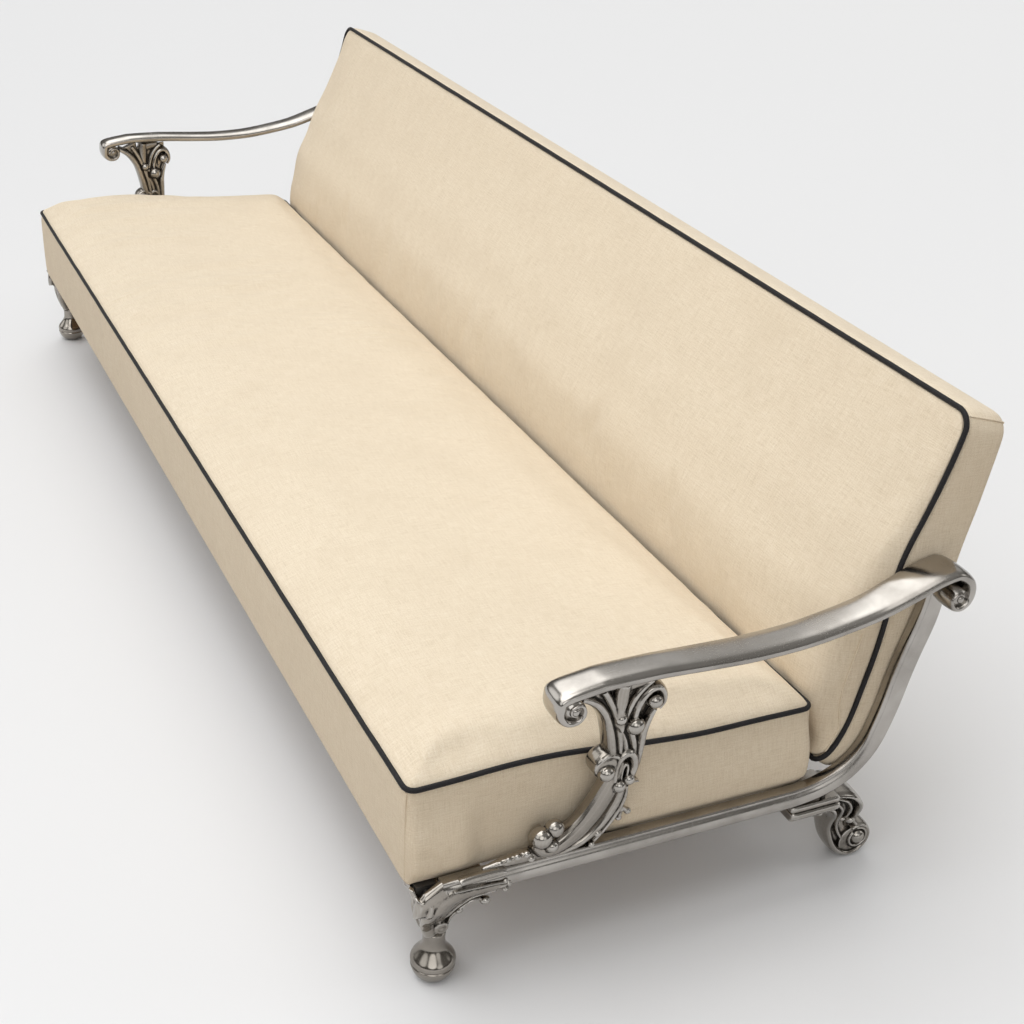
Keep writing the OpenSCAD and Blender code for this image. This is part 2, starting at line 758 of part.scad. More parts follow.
tail_shares = [[0.02, 0.04, 0.11], [-0.106, 0.03, 0.09], [-0.235, 0.018, 0.055], [-0.365, 0.008, 0.025]];
bracket_head_shares = [[0.42, 1], [0.68, 1], [0.72, 0.9], [0.66, 0.84], [0.54, 0.84], [0.46, 0.92]];

// Beads: place along the depth and the height, and share of the largest pearl
bead_shares = [
  [0.724, 0.687, 1], [0.935, 0.855, 0.8], [0.647, 0.374, 0.62], [0.73, 0.388, 0.5],
  [0.64, 0.2, 0.45], [0.36, 0.04, 0.5], [-0.08, 0.06, 0.5], [-0.17, 0.045, 0.4],
  [-0.25, 0.035, 0.32], [0.15, 0.1, 0.55], [0.02, 0.14, 1.2], [0.12, 0.165, 1]
];

// Raised ridge along the middle of each ribbon
ridge_share = 0.45;
ridge_proud = bracket_wide * 0.08;

function bracket_rows(shares) =
  [for (s = shares)
    [bracket_y + bracket_deep * s[0], rail_top + bracket_tall * s[1], bracket_deep * s[2]]];

module ornament(shares, out_share, wide_share, steps = 4) {
  rows = bracket_rows(shares);
  ribbon_across(bracket_wide * out_share, bracket_wide * wide_share, rows, steps);
  ribbon_across(bracket_wide * out_share, bracket_wide * wide_share + 2 * ridge_proud,
    [for (r = rows) [r[0], r[1], r[2] * ridge_share]], steps);
}

module bracket_casting() {
  ornament(stem_shares, 0, 0.86);
  ornament(front_branch_shares, 0, 0.8);
  ornament(rear_branch_shares, 0.04, 0.84);
  ornament(bud_shares, 0.12, 0.86);
  ornament(rib_shares, 0.12, 0.6);
  ornament(loop_shares, 0.2, 0.6);
  ornament(tail_shares, 0.1, 0.5, 3);
  across(0, bracket_wide * 0.8)
    polygon([for (s = bracket_head_shares)
      [bracket_y + bracket_deep * s[0], rail_top + bracket_tall * s[1] * 1.02]]);
  rod_x(-bracket_wide * 0.45, bracket_y + bracket_deep * 0.518, rail_top + bracket_tall * 0.493,
    pearl_r * 1.4, bracket_wide * 1.05);
  pearl(bracket_wide * 0.6, bracket_y + bracket_deep * 0.518, rail_top + bracket_tall * 0.493,
    pearl_r * 0.9);
  for (s = bead_shares)
    pearl(bracket_wide * 0.4, bracket_y + bracket_deep * s[0], rail_top + bracket_tall * s[1],
      pearl_r * s[2]);
}

module arm_bracket() {
  tilt = atan2(bracket_top_x - bracket_mid, bracket_tall);
  color(nickel)
    difference() {
      intersection() {
        translate([bracket_mid, 0, rail_top])
          rotate([0, tilt, 0])
            translate([0, 0, -rail_top])
              bracket_casting();
        translate([seat_len / 2 + piping_r, 0, rail_top + fit])
          cube([arm_side + arm_wide, seat_deep, bracket_tall]);
      }
      bracket_stud_set(hole_r, hole_hold);
      arm_stud_set(hole_r, hole_hold);
    }
}

// Front legs: a cast knee under the rail, drawn from the side and from the front

leg_tall = rail_low - ball_tall - fit;
knee_front_shares = [[0, 1], [0.01, 0.78], [0.05, 0.55], [0.12, 0.32], [0.18, 0.14], [0.2, 0]];
knee_rear_shares = [[0.38, 0], [0.385, 0.18], [0.43, 0.42], [0.55, 0.68], [0.75, 0.86], [1, 0.93]];
knee_out_shares = [[0.24, 0], [0.36, 0.2], [0.58, 0.48], [0.7, 0.75], [0.72, 1]];
knee_in_shares = [[-0.28, 1], [-0.3, 0.7], [-0.27, 0.35], [-0.24, 0.1], [-0.24, 0]];
band_rows_shares = [
  [0.99, 0.93, 0.06], [0.67, 0.84, 0.11], [0.4, 0.68, 0.16], [0.25, 0.4, 0.15],
  [0.22, 0.15, 0.12], [0.24, 0.02, 0.1]
];
leaf_shares = [
  [[0.2, 1, 0.22], [0.16, 0.6, 0.24], [0.04, 0.25, 0.18], [0, 0.04, 0.12]],
  [[-0.14, 1, 0.16], [-0.17, 0.6, 0.18], [-0.13, 0.2, 0.12]],
  [[0.52, 1, 0.18], [0.48, 0.65, 0.18], [0.26, 0.25, 0.12]]
];
proud = knee_wide * 0.05;

function leg_side(p) = [leg_front_y + knee_long * p[0], ball_tall + fit + leg_tall * p[1]];
function leg_face(p) = [foot_x + knee_wide * p[0], ball_tall + fit + leg_tall * p[1]];
module knee_side_view(forward) {
  front = [for (p = smooth(knee_front_shares, 3)) leg_side(p) - [forward, 0]];
  polygon(concat(front, [for (p = smooth(knee_rear_shares, 3)) leg_side(p)], [leg_side([1, 1])]));
}

// Head of the knee, in front of the bar and as high as its top
knee_head_shares = [[0, 0], [0.02, 0.4], [0.12, 0.7], [0.35, 0.9], [0.7, 0.97], [1, 1], [1, 0]];
module knee_head() {
  long = rail_setback - fit - leg_front_y;
  low = rail_low - rail_tall / 2;
  across((bar_in + bar_out + 3 * fit) / 2, bar_thick + fit)
    polygon([for (p = knee_head_shares)
      [leg_front_y + long * p[0], low + (rail_top - low) * p[1]]]);
}
module knee_front_view(outward) {
  out = [for (p = smooth(knee_out_shares, 3)) leg_face(p) + [outward, 0]];
  polygon(concat(out, [for (p = smooth(knee_in_shares, 3)) leg_face(p)]));
}

module front_leg() {
  long = knee_long + 2 * proud;
  y = leg_front_y - proud;
  color(nickel)
    difference() {
      union() {
        intersection() {
          across(foot_x, 2 * knee_wide)
            knee_side_view(0);
          lengthways(y, long)
            knee_front_view(0);
        }
        intersection() {
          ribbon_across(foot_x + knee_wide / 2, knee_wide,
            [for (p = band_rows_shares) concat(leg_side(p), [knee_long * p[2]])], 3);
          lengthways(y, long)
            knee_front_view(proud);
        }
        for (rows = leaf_shares)
          intersection() {
            lengthways(y, knee_long / 2)
              polygon(ribbon(smooth(
                [for (p = rows) concat(leg_face(p), [knee_wide * p[2]])], 3)));
            across(foot_x, 2 * knee_wide)
              knee_side_view(proud);
          }
        spiral = leg_side([0.37, 0.17]);
        rod_x(foot_x, spiral[0], spiral[1], knee_wide * 0.15, knee_wide * 0.42);
        pearl(foot_x + knee_wide * 0.44, spiral[0], spiral[1], knee_wide * 0.09);
        for (p = [[0.54, 0.64, 0.5], [0.76, 0.8, 0.6]])
          let (at = leg_side(p))
            pearl(foot_x + knee_wide * p[2], at[0], at[1], knee_wide * 0.09);
        knee_head();
        moulding();
      }
      leg_stud_set(hole_r, hole_hold);
      foot_stud_set(hole_r, hole_hold);
      rail_stud_set(hole_r, hole_hold);
    }
}

// Moulding on the outer face of the rail, joined to the knee below it
module moulding() {
  bead = rail_tall * 0.16;
  start = leg_front_y + knee_long * 0.14;
  long = knee_long * 0.74;
  translate([bar_out + fit, start, rail_low - rail_tall * 0.3])
    cube([bead, long, rail_tall * 0.75]);
  translate([bar_out + fit + bead, start, rail_low + rail_tall * 0.45])
    rotate([-90, 0, 0])
      cylinder(r = bead, h = long);
}

module foot_stud_set(r, hold) {
  stud_z(foot_x, foot_y, ball_tall, r, hold);
}

// Ball foot: turned profile from its flat sole to its neck
ball_profile_shares = [
  [0, 0], [0.44, 0], [0.64, 0.05], [0.8, 0.12], [0.93, 0.22], [0.99, 0.31], [0.99, 0.345],
  [0.94, 0.36], [0.94, 0.39], [0.99, 0.405], [0.99, 0.44], [0.94, 0.52], [0.82, 0.61],
  [0.62, 0.7], [0.44, 0.755], [0.38, 0.8], [0.46, 0.83], [0.52, 0.87], [0.46, 0.91],
  [0.4, 0.95], [0.5, 1], [0, 1]
];
module ball_foot() {
  color(nickel)
    difference() {
      translate([foot_x, foot_y, 0])
        rotate_extrude($fn = 72)
          polygon([for (p = ball_profile_shares) [ball_d / 2 * p[0], ball_tall * p[1]]]);
      foot_stud_set(hole_r, hole_hold);
    }
}

// Rear legs: a cap under the rail and an S scroll that ends in a volute

scroll_shares = [
  [0.36, 0.94, 0.14], [0.7, 0.905, 0.22], [1.07, 0.89, 0.25], [1.41, 0.82, 0.25],
  [1.53, 0.68, 0.23], [1.45, 0.54, 0.215], [1.37, 0.405, 0.23], [1.46, 0.26, 0.27],
  [1.68, 0.17, 0.27]
];
cap_profile_shares = [
  [0, 1], [0, 0.7], [0.04, 0.5], [0.1, 0.35], [0.9, 0.35], [0.96, 0.5], [1, 0.7], [1, 1]
];
module rear_leg() {
  mid_x = foot_x - rear_leg_wide * 0.3;
  cap_tall = rail_tall * 0.56;
  cap_out = bar_out + bar_thick * 0.06;
  cap_wide = cap_out - mid_x + rear_leg_wide / 2;
  volute_y = bend_y + cap_long * 1.84;
  volute_z = volute_r * 0.965;
  color(nickel)
    difference() {
      union() {
        across(cap_out - cap_wide / 2, cap_wide)
          polygon([for (p = cap_profile_shares)
            [bend_y + cap_long * p[0], rail_low - fit - cap_tall * (1 - p[1]) * 1.5]]);
        ribbon_across(mid_x, rear_leg_wide,
          [for (s = scroll_shares)
            [bend_y + cap_long * s[0], rail_low * s[1], cap_long * s[2]]], 4);
        rod_x(mid_x - rear_leg_wide / 2, volute_y, volute_z, volute_r, rear_leg_wide);
        rod_x(mid_x - rear_leg_wide * 0.62, volute_y, volute_z, volute_r * 0.45,
          rear_leg_wide * 1.24);
        for (side = [-1, 1])
          pearl(mid_x + side * rear_leg_wide * 0.62, volute_y, volute_z, volute_r * 0.36);
        for (side = [-1, 1])
          pearl(mid_x + side * rear_leg_wide * 0.42, bend_y + cap_long * 1.5, rail_low * 0.46,
            volute_r * 0.3);
      }
      translate([mid_x - rear_leg_wide, volute_y - volute_r, -volute_r])
        cube([2 * rear_leg_wide, 2 * volute_r, volute_r]);
      leg_stud_set(hole_r, hole_hold);
    }
}

// Seat deck

rail_half = bar_in - fit;
module angle_rail() {
  color(steel)
    difference() {
      union() {
        translate([-rail_half, angle_inset, deck_low])
          cube([2 * rail_half, angle_wall, angle_tall]);
        translate([-rail_half, angle_inset, deck_low])
          cube([2 * rail_half, angle_deep, angle_wall]);
        for (side = [0, 1])
          mirror([side, 0, 0])
            translate([rail_half - slat_wide / 2, angle_inset, deck_low])
              cube([slat_wide / 2, angle_deep, angle_tall]);
      }
      for (side = [0, 1])
        mirror([side, 0, 0])
          rail_stud_set(hole_r, hole_hold);
    }
}

module front_rail() {
  angle_rail();
}

module rear_rail() {
  translate([0, seat_deep, 0])
    mirror([0, 1, 0])
      angle_rail();
}

module centre_stretcher() {
  color(steel)
    difference() {
      union() {
        translate([-rail_half, (seat_deep - stretcher_deep) / 2, stretcher_top - stretcher_tall])
          cube([2 * rail_half, stretcher_deep, stretcher_tall]);
        for (side = [0, 1])
          mirror([side, 0, 0])
            translate([rail_half - slat_wide / 2, (seat_deep - stretcher_deep) / 2, deck_low])
              cube([slat_wide / 2, stretcher_deep, angle_tall]);
      }
      for (side = [0, 1])
        mirror([side, 0, 0])
          rail_stud_set(hole_r, hole_hold);
    }
}

module deck_slats() {
  start = rail_half - slat_wide / 2 - slat_gap;
  pitches = ceil((2 * start - slat_wide) / (slat_wide + slat_gap));
  pitch = (2 * start - slat_wide) / pitches;
  front = angle_inset + angle_wall + fit;
  color(beech)
    for (i = [0 : pitches])
      translate([i * pitch - start, front, stretcher_top])
        cube([slat_wide, seat_deep - 2 * front, deck_top - stretcher_top]);
}

module both_sides() {
  color(steel)
    for (side = [0, 1])
      mirror([side, 0, 0])
        children();
}
module arm_studs() {
  both_sides()
    arm_stud_set(stud_r, stud_hold);
}
module bracket_studs() {
  both_sides()
    bracket_stud_set(stud_r, stud_hold);
}
module leg_studs() {
  both_sides()
    leg_stud_set(stud_r, stud_hold);
}
module foot_studs() {
  both_sides()
    foot_stud_set(stud_r, stud_hold);
}
module rail_studs() {
  both_sides()
    rail_stud_set(stud_r, stud_hold);
}

placed() seat_cushion();
placed() seat_piping();
placed() back_pad();
placed() back_piping();
placed() back_shell();
placed() back_frame();
placed() back_webbing();
placed() back_bolts();
placed() left_hand() side_frame();  // side_frame_left
placed() side_frame();  // side_frame_right
placed() left_hand() arm();  // arm_left
placed() arm();  // arm_right
placed() left_hand() arm_bracket();  // arm_bracket_left
placed() arm_bracket();  // arm_bracket_right
placed() left_hand() front_leg();  // front_leg_left
placed() front_leg();  // front_leg_right
placed() left_hand() ball_foot();  // ball_foot_left
placed() ball_foot();  // ball_foot_right
placed() left_hand() rear_leg();  // rear_leg_left
placed() rear_leg();  // rear_leg_right
placed() front_rail();
placed() rear_rail();
placed() centre_stretcher();
placed() deck_slats();
placed() arm_studs();
placed() bracket_studs();
placed() leg_studs();
placed() foot_studs();
placed() rail_studs();
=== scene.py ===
import math
import bmesh
import bpy
import numpy as np
from mathutils import Matrix, Vector, noise


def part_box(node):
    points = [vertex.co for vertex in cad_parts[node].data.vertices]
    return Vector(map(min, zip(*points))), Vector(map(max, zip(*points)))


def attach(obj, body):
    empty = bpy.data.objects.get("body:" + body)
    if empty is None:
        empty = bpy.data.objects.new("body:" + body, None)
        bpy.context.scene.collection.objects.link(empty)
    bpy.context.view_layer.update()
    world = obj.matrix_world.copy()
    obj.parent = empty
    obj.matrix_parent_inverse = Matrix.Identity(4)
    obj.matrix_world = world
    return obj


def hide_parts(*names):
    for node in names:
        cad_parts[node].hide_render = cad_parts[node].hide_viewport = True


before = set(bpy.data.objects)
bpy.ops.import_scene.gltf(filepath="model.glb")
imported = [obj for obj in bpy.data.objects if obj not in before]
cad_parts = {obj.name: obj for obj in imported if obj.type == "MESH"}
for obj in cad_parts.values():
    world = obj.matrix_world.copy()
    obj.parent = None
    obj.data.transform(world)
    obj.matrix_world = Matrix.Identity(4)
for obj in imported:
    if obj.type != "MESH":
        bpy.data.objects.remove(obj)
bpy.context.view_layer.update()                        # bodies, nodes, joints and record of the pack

scene = bpy.context.scene
scene.view_settings.view_transform = "Standard"

# Places that the pieces share, read from the frame
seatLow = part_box("seat_cushion")[0]
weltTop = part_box("seat_piping")[1].z     # the top of the cord round the seat
frontY = seatLow.y                       # the front of the seat
print("frame read", len(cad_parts), "nodes")


# Shader tools

def newGroup(name, inputs, outputs):
    group = bpy.data.node_groups.new(name, "ShaderNodeTree")
    for label, kind, value in inputs:
        socket = group.interface.new_socket(name=label, in_out="INPUT", socket_type=kind)
        socket.default_value = value
    for label, kind in outputs:
        group.interface.new_socket(name=label, in_out="OUTPUT", socket_type=kind)
    return group


def addNode(tree, kind, **settings):
    node = tree.nodes.new(kind)
    for key, value in settings.items():
        setattr(node, key, value)
    return node


# Gives an input its value, or links it to an output
def feed(tree, node, key, value):
    if isinstance(value, bpy.types.NodeSocket):
        tree.links.new(value, node.inputs[key])
    else:
        node.inputs[key].default_value = value


def feedAll(tree, node, values):
    for key, value in values.items():
        feed(tree, node, key, value)


def mathNode(tree, operation, *values, clamp=False):
    node = addNode(tree, "ShaderNodeMath", operation=operation, use_clamp=clamp)
    for index, value in enumerate(values):
        feed(tree, node, index, value)
    return node.outputs[0]


def times(tree, first, second, clamp=False):
    return mathNode(tree, "MULTIPLY", first, second, clamp=clamp)


def plus(tree, first, second, clamp=False):
    return mathNode(tree, "ADD", first, second, clamp=clamp)


def mixColour(tree, factor, first, second, blendType="MIX"):
    node = addNode(tree, "ShaderNodeMix", data_type="RGBA", blend_type=blendType)
    for index, value in ((0, factor), (6, first), (7, second)):
        feed(tree, node, index, value)
    return node.outputs[2]


def noiseNode(tree, vector, scale, detail=3.0, roughness=0.55):
    node = addNode(tree, "ShaderNodeTexNoise", noise_dimensions="3D")
    feedAll(tree, node, {"Vector": vector, "Scale": scale, "Detail": detail, "Roughness": roughness})
    return node.outputs["Fac"]


def rampNode(tree, factor, stops):
    node = addNode(tree, "ShaderNodeValToRGB")
    ramp = node.color_ramp
    while len(ramp.elements) < len(stops):
        ramp.elements.new(0.5)
    for element, (place, colour) in zip(ramp.elements, stops):
        element.position = place
        element.color = colour if isinstance(colour, tuple) else (colour, colour, colour, 1)
    tree.links.new(factor, node.inputs[0])
    return node.outputs[0]


# Noise with a scale of its own along each axis
def grainNode(tree, vector, scales, detail, roughness=0.55):
    node = addNode(tree, "ShaderNodeVectorMath", operation="MULTIPLY")
    feedAll(tree, node, {0: vector, 1: scales})
    return noiseNode(tree, node.outputs[0], 1.0, detail, roughness)


def objectSpot(tree):
    return addNode(tree, "ShaderNodeTexCoord").outputs["Object"]


def splitVector(tree, vector):
    node = addNode(tree, "ShaderNodeSeparateXYZ")
    feed(tree, node, 0, vector)
    return node.outputs


def bumpNode(tree, height, strength, distance, under=None):
    node = addNode(tree, "ShaderNodeBump")
    feedAll(tree, node, {"Height": height, "Strength": strength, "Distance": distance})
    if under:
        feed(tree, node, "Normal", under)
    return node.outputs[0]


def useGroup(tree, group, **values):
    node = addNode(tree, "ShaderNodeGroup", node_tree=group)
    feedAll(tree, node, values)
    return node.outputs


# Plain weave with slubs. Cloth lies flat on three families of faces, so the weave first picks two directions
# along the face: threads both ways, thick and thin places, a soft mottle
def buildLinenWeave():
    tree = newGroup("linenWeave", [("Threads", "NodeSocketFloat", 620.0), ("Slubs", "NodeSocketFloat", 1.0)],
                    [("Height", "NodeSocketFloat"), ("Tone", "NodeSocketFloat"), ("Mottle", "NodeSocketFloat")])
    given = addNode(tree, "NodeGroupInput")
    normal = splitVector(tree, addNode(tree, "ShaderNodeNewGeometry").outputs["Normal"])
    spot = splitVector(tree, objectSpot(tree))
    sides = [mathNode(tree, "ABSOLUTE", normal[axis]) for axis in range(3)]
    endFace = times(tree, mathNode(tree, "GREATER_THAN", sides[0], sides[1]),
                    mathNode(tree, "GREATER_THAN", sides[0], sides[2]))
    topFace = times(tree, mathNode(tree, "GREATER_THAN", sides[2], sides[1]),
                    mathNode(tree, "SUBTRACT", 1.0, endFace))
    joined = addNode(tree, "ShaderNodeCombineXYZ")
    for index, (mask, plain, turned) in enumerate(((endFace, spot[0], spot[1]), (topFace, spot[2], spot[1]))):
        pick = addNode(tree, "ShaderNodeMix", data_type="FLOAT")
        feedAll(tree, pick, {0: mask, 2: plain, 3: turned})
        feed(tree, joined, index, pick.outputs[0])
    along = joined.outputs[0]
    flat = splitVector(tree, along)
    wobble = times(tree, grainNode(tree, along, (60, 60, 60), 2), 2.2)
    turns = []
    for axis in range(2):
        shifted = plus(tree, times(tree, flat[axis], given.outputs["Threads"]), wobble)
        turns.append(mathNode(tree, "SINE", times(tree, shifted, math.pi)))
    threads = mathNode(tree, "MULTIPLY_ADD", times(tree, *turns), 0.5, 0.5)
    warpSlub = grainNode(tree, along, (34, 520, 1), 2, 0.5)
    weftSlub = grainNode(tree, along, (520, 34, 1), 2, 0.5)
    slubs = times(tree, plus(tree, warpSlub, weftSlub), 0.5)
    grain = grainNode(tree, along, (430, 430, 1), 2, 0.6)
    tone = plus(tree, times(tree, slubs, 0.62), times(tree, grain, 0.38))
    height = plus(tree, times(tree, threads, 0.35), times(tree, tone, 1.3))
    feedAll(tree, addNode(tree, "NodeGroupOutput"), {
        "Height": height, "Mottle": grainNode(tree, along, (7, 7, 7), 4, 0.6),
        "Tone": times(tree, mathNode(tree, "SUBTRACT", tone, 0.5), given.outputs["Slubs"])})
    return tree


linenWeave = buildLinenWeave()


def newMaterial(name):
    material = bpy.data.materials.new(name)
    material.use_nodes = True
    shader = material.node_tree.nodes["Principled BSDF"]
    return material, material.node_tree, shader


linenLook = {
    "cloth": (0.77, 0.665, 0.515, 1),
    "shadeThread": (0.62, 0.515, 0.375, 1),
    "paleThread": (0.87, 0.785, 0.65, 1),
    "soil": (0.68, 0.575, 0.435, 1),
    "contrast": 4.6, "bumpDepth": 0.0011, "creaseDepth": 0.016, "roughness": 0.92,
}


def buildLinen():
    look = linenLook
    material, tree, shader = newMaterial("linenCream")
    weave = useGroup(tree, linenWeave, Threads=620.0, Slubs=1.0)
    pale = times(tree, weave["Tone"], look["contrast"], clamp=True)
    dark = times(tree, weave["Tone"], -look["contrast"], clamp=True)
    colour = mixColour(tree, pale, look["cloth"], look["paleThread"])
    colour = mixColour(tree, dark, colour, look["shadeThread"])
    colour = mixColour(tree, rampNode(tree, weave["Mottle"], [(0.46, 0.0), (0.72, 0.34)]), colour, look["soil"])

    # long creases, most of them left of the middle
    spot = objectSpot(tree)
    crinkle = grainNode(tree, spot, (48, 5, 7), 2, 0.5)
    patches = rampNode(tree, grainNode(tree, spot, (1.6, 2.2, 2.2), 1, 0.5), [(0.42, 0.0), (0.62, 1.0)])
    shift = mathNode(tree, "MULTIPLY_ADD", splitVector(tree, spot)[0], 0.4, 0.5)
    spread = rampNode(tree, shift, [(0.1, 0.35), (0.26, 1.0), (0.5, 0.8), (0.68, 0.12)])
    marks = times(tree, times(tree, crinkle, patches), spread)
    creased = bumpNode(tree, marks, 0.5, look["creaseDepth"])
    feedAll(tree, shader, {"Base Color": colour, "Roughness": look["roughness"], "Specular IOR Level": 0.18,
                           "Sheen Weight": 0.12, "Sheen Roughness": 0.5,
                           "Normal": bumpNode(tree, weave["Height"], 0.55, look["bumpDepth"], creased)})
    return material


pipingLook = {"cloth": (0.010, 0.0095, 0.011, 1), "paleThread": (0.03, 0.028, 0.031, 1), "roughness": 0.7}


def buildPiping():
    look = pipingLook
    material, tree, shader = newMaterial("pipingNavy")
    weave = useGroup(tree, linenWeave, Threads=900.0, Slubs=1.4)
    lift = times(tree, weave["Tone"], 4.0, clamp=True)
    feedAll(tree, shader, {"Base Color": mixColour(tree, lift, look["cloth"], look["paleThread"]),
                           "Roughness": look["roughness"], "Specular IOR Level": 0.3, "Sheen Weight": 0.03,
                           "Normal": bumpNode(tree, weave["Height"], 0.6, 0.0008)})
    return material


# Wear of the metal: fine scratches and handling marks, with a cloudy change of gloss
def buildMetalWear():
    tree = newGroup("metalWear", [("Clouds", "NodeSocketFloat", 14.0), ("Scratch", "NodeSocketFloat", 1.0)],
                    [("Gloss", "NodeSocketFloat"), ("Cloud", "NodeSocketFloat"), ("Height", "NodeSocketFloat")])
    given = addNode(tree, "NodeGroupInput")
    spot = objectSpot(tree)
    fine = rampNode(tree, grainNode(tree, spot, (900, 60, 900), 2, 0.6), [(0.58, 0.0), (0.74, 1.0)])
    cross = rampNode(tree, grainNode(tree, spot, (140, 700, 90), 3, 0.6), [(0.6, 0.0), (0.78, 1.0)])
    both = times(tree, plus(tree, fine, cross), given.outputs["Scratch"])
    pits = noiseNode(tree, spot, 240.0, 3, 0.6)
    height = plus(tree, times(tree, both, -0.12), times(tree, pits, 0.5))
    feedAll(tree, addNode(tree, "NodeGroupOutput"), {
        "Gloss": both, "Height": height, "Cloud": noiseNode(tree, spot, given.outputs["Clouds"], 5, 0.5)})
    return tree


metalWear = buildMetalWear()
nickelLook = {
    "bright": (0.45, 0.425, 0.395, 1),
    "dull": (0.33, 0.31, 0.285, 1),
    "patina": (0.022, 0.019, 0.016, 1),
    "edge": (0.56, 0.54, 0.51, 1),
    "paintedShade": (0.8, 0.78, 0.75, 1),
    "crestHighlightShare": 0.6, "grimeShare": 0.96,
}


# Polished nickel; the castings carry an attribute that says how hollow a place is, and gather grime there, with a
# painted highlight on their crests
def buildNickel(name, roughLow, roughHigh, bumpStrength, cast=False, paintShade=True):
    look = nickelLook
    material, tree, shader = newMaterial(name)
    wear = useGroup(tree, metalWear, Clouds=13.0, Scratch=1.0)
    cloud = rampNode(tree, wear["Cloud"], [(0.4, 0.0), (0.66, 1.0)])
    colour = mixColour(tree, cloud, look["bright"], look["dull"])
    # feet and castings take a darker, warmer copy of the nickel as painted shade; the bars keep the plain colour
    if paintShade:
        colour = mixColour(tree, 1.0, colour, look["paintedShade"], "MULTIPLY")
    rough = mathNode(tree, "MULTIPLY_ADD", cloud, roughHigh - roughLow, roughLow)
    rough = plus(tree, rough, times(tree, wear["Gloss"], 0.10), clamp=True)
    if cast:
        hollow = addNode(tree, "ShaderNodeAttribute", attribute_name="hollow").outputs["Fac"]
        dirt = mathNode(tree, "SUBTRACT", noiseNode(tree, objectSpot(tree), 160.0, 4, 0.6), 0.5)
        depth = plus(tree, hollow, times(tree, dirt, 0.5))
        grime = rampNode(tree, depth, [(0.52, 0.0), (0.74, 1.0)])
        # the crests take the lighter edge colour as a painted highlight
        crest = rampNode(tree, hollow, [(0.22, 1.0), (0.42, 0.0)])
        colour = mixColour(tree, times(tree, crest, look["crestHighlightShare"]), colour, look["edge"])
        colour = mixColour(tree, times(tree, grime, look["grimeShare"]), colour, look["patina"])
        rough = plus(tree, rough, times(tree, grime, 0.32), clamp=True)
    feedAll(tree, shader, {"Base Color": colour, "Roughness": rough, "Metallic": 1.0,
                           "Normal": bumpNode(tree, wear["Height"], bumpStrength, 0.0004)})
    return material


deckLook = {"dark": (0.07, 0.067, 0.064, 1), "pale": (0.15, 0.143, 0.136, 1), "metal": 0.85}
beechLook = {"dark": (0.46, 0.31, 0.18, 1), "pale": (0.66, 0.49, 0.32, 1), "fleck": (0.33, 0.21, 0.12, 1),
             "roughness": 0.55}
juteLook = {"dark": (0.25, 0.18, 0.11, 1), "pale": (0.52, 0.41, 0.27, 1), "roughness": 0.9}


def buildDeckSteel():
    material, tree, shader = newMaterial("deckSteel")
    wear = useGroup(tree, metalWear, Clouds=24.0, Scratch=0.6)
    feedAll(tree, shader, {
        "Base Color": mixColour(tree, wear["Cloud"], deckLook["dark"], deckLook["pale"]),
        "Metallic": deckLook["metal"], "Roughness": mathNode(tree, "MULTIPLY_ADD", wear["Cloud"], 0.3, 0.32)})
    return material


def buildBeech():
    material, tree, shader = newMaterial("beechWood")
    spot = objectSpot(tree)
    rings = grainNode(tree, spot, (90, 6, 90), 5, 0.6)
    flecks = rampNode(tree, grainNode(tree, spot, (600, 60, 600), 2, 0.5), [(0.6, 0.0), (0.7, 0.5)])
    colour = mixColour(tree, rings, beechLook["dark"], beechLook["pale"])
    feedAll(tree, shader, {"Base Color": mixColour(tree, flecks, colour, beechLook["fleck"]),
                           "Roughness": beechLook["roughness"], "Normal": bumpNode(tree, rings, 0.2, 0.0006)})
    return material


def buildJute():
    material, tree, shader = newMaterial("juteWebbing")
    weave = useGroup(tree, linenWeave, Threads=300.0, Slubs=2.0)
    feedAll(tree, shader, {
        "Base Color": mixColour(tree, weave["Height"], juteLook["dark"], juteLook["pale"]),
        "Roughness": juteLook["roughness"]})
    return material


linen = buildLinen()
pipingCloth = buildPiping()
barNickel = buildNickel("nickelBar", 0.13, 0.26, 0.10, paintShade=False)
footNickel = buildNickel("nickelFoot", 0.10, 0.20, 0.08)
castNickel = buildNickel("nickelCast", 0.12, 0.26, 0.16, cast=True)
deckSteel = buildDeckSteel()
beech = buildBeech()
jute = buildJute()
print("materials built")


# Modelling tools; lengths below are millimetres in the frame of the part, with y from the seat front

def place(x, y, z):
    return Vector((x / 1000, y / 1000 + frontY, z / 1000))


def inMillimetres(spot):
    return spot.x * 1000, (spot.y - frontY) * 1000, spot.z * 1000


# Rows made denser along a smooth curve through them
def smoothRows(rows, steps):
    last = len(rows) - 1
    out = []
    for i in range(last):
        a, b, c, d = rows[max(i - 1, 0)], rows[i], rows[i + 1], rows[min(i + 2, last)]
        for s in range(steps):
            t = s / steps
            out.append(tuple(
                (2 * q + (r - p) * t + (2 * p - 5 * q + 4 * r - w) * t * t + (3 * q - p - 3 * r + w) * t ** 3) / 2
                for p, q, r, w in zip(a, b, c, d)))
    out.append(tuple(rows[last]))
    return out


# The value of a column where the first column has the given value
def lookUp(table, value, column):
    if value <= table[0][0]:
        return table[0][column]
    for low, high in zip(table, table[1:]):
        if value <= high[0]:
            t = (value - low[0]) / (high[0] - low[0])
            return low[column] + (high[column] - low[column]) * t
    return table[-1][column]


def clamp(value, low=0.0, high=1.0):
    return max(low, min(high, value))


def ease(value):
    t = clamp(value)
    return t * t * (3 - 2 * t)


# Places round a squarish circle; half a step of turn puts a flat at its side
def superRing(count, power, turn=0.0):
    places = []
    for step in range(count):
        c, s = math.cos(2 * math.pi * (step + turn) / count), math.sin(2 * math.pi * (step + turn) / count)
        places.append((math.copysign(abs(c) ** (2 / power), c), math.copysign(abs(s) ** (2 / power), s)))
    return places


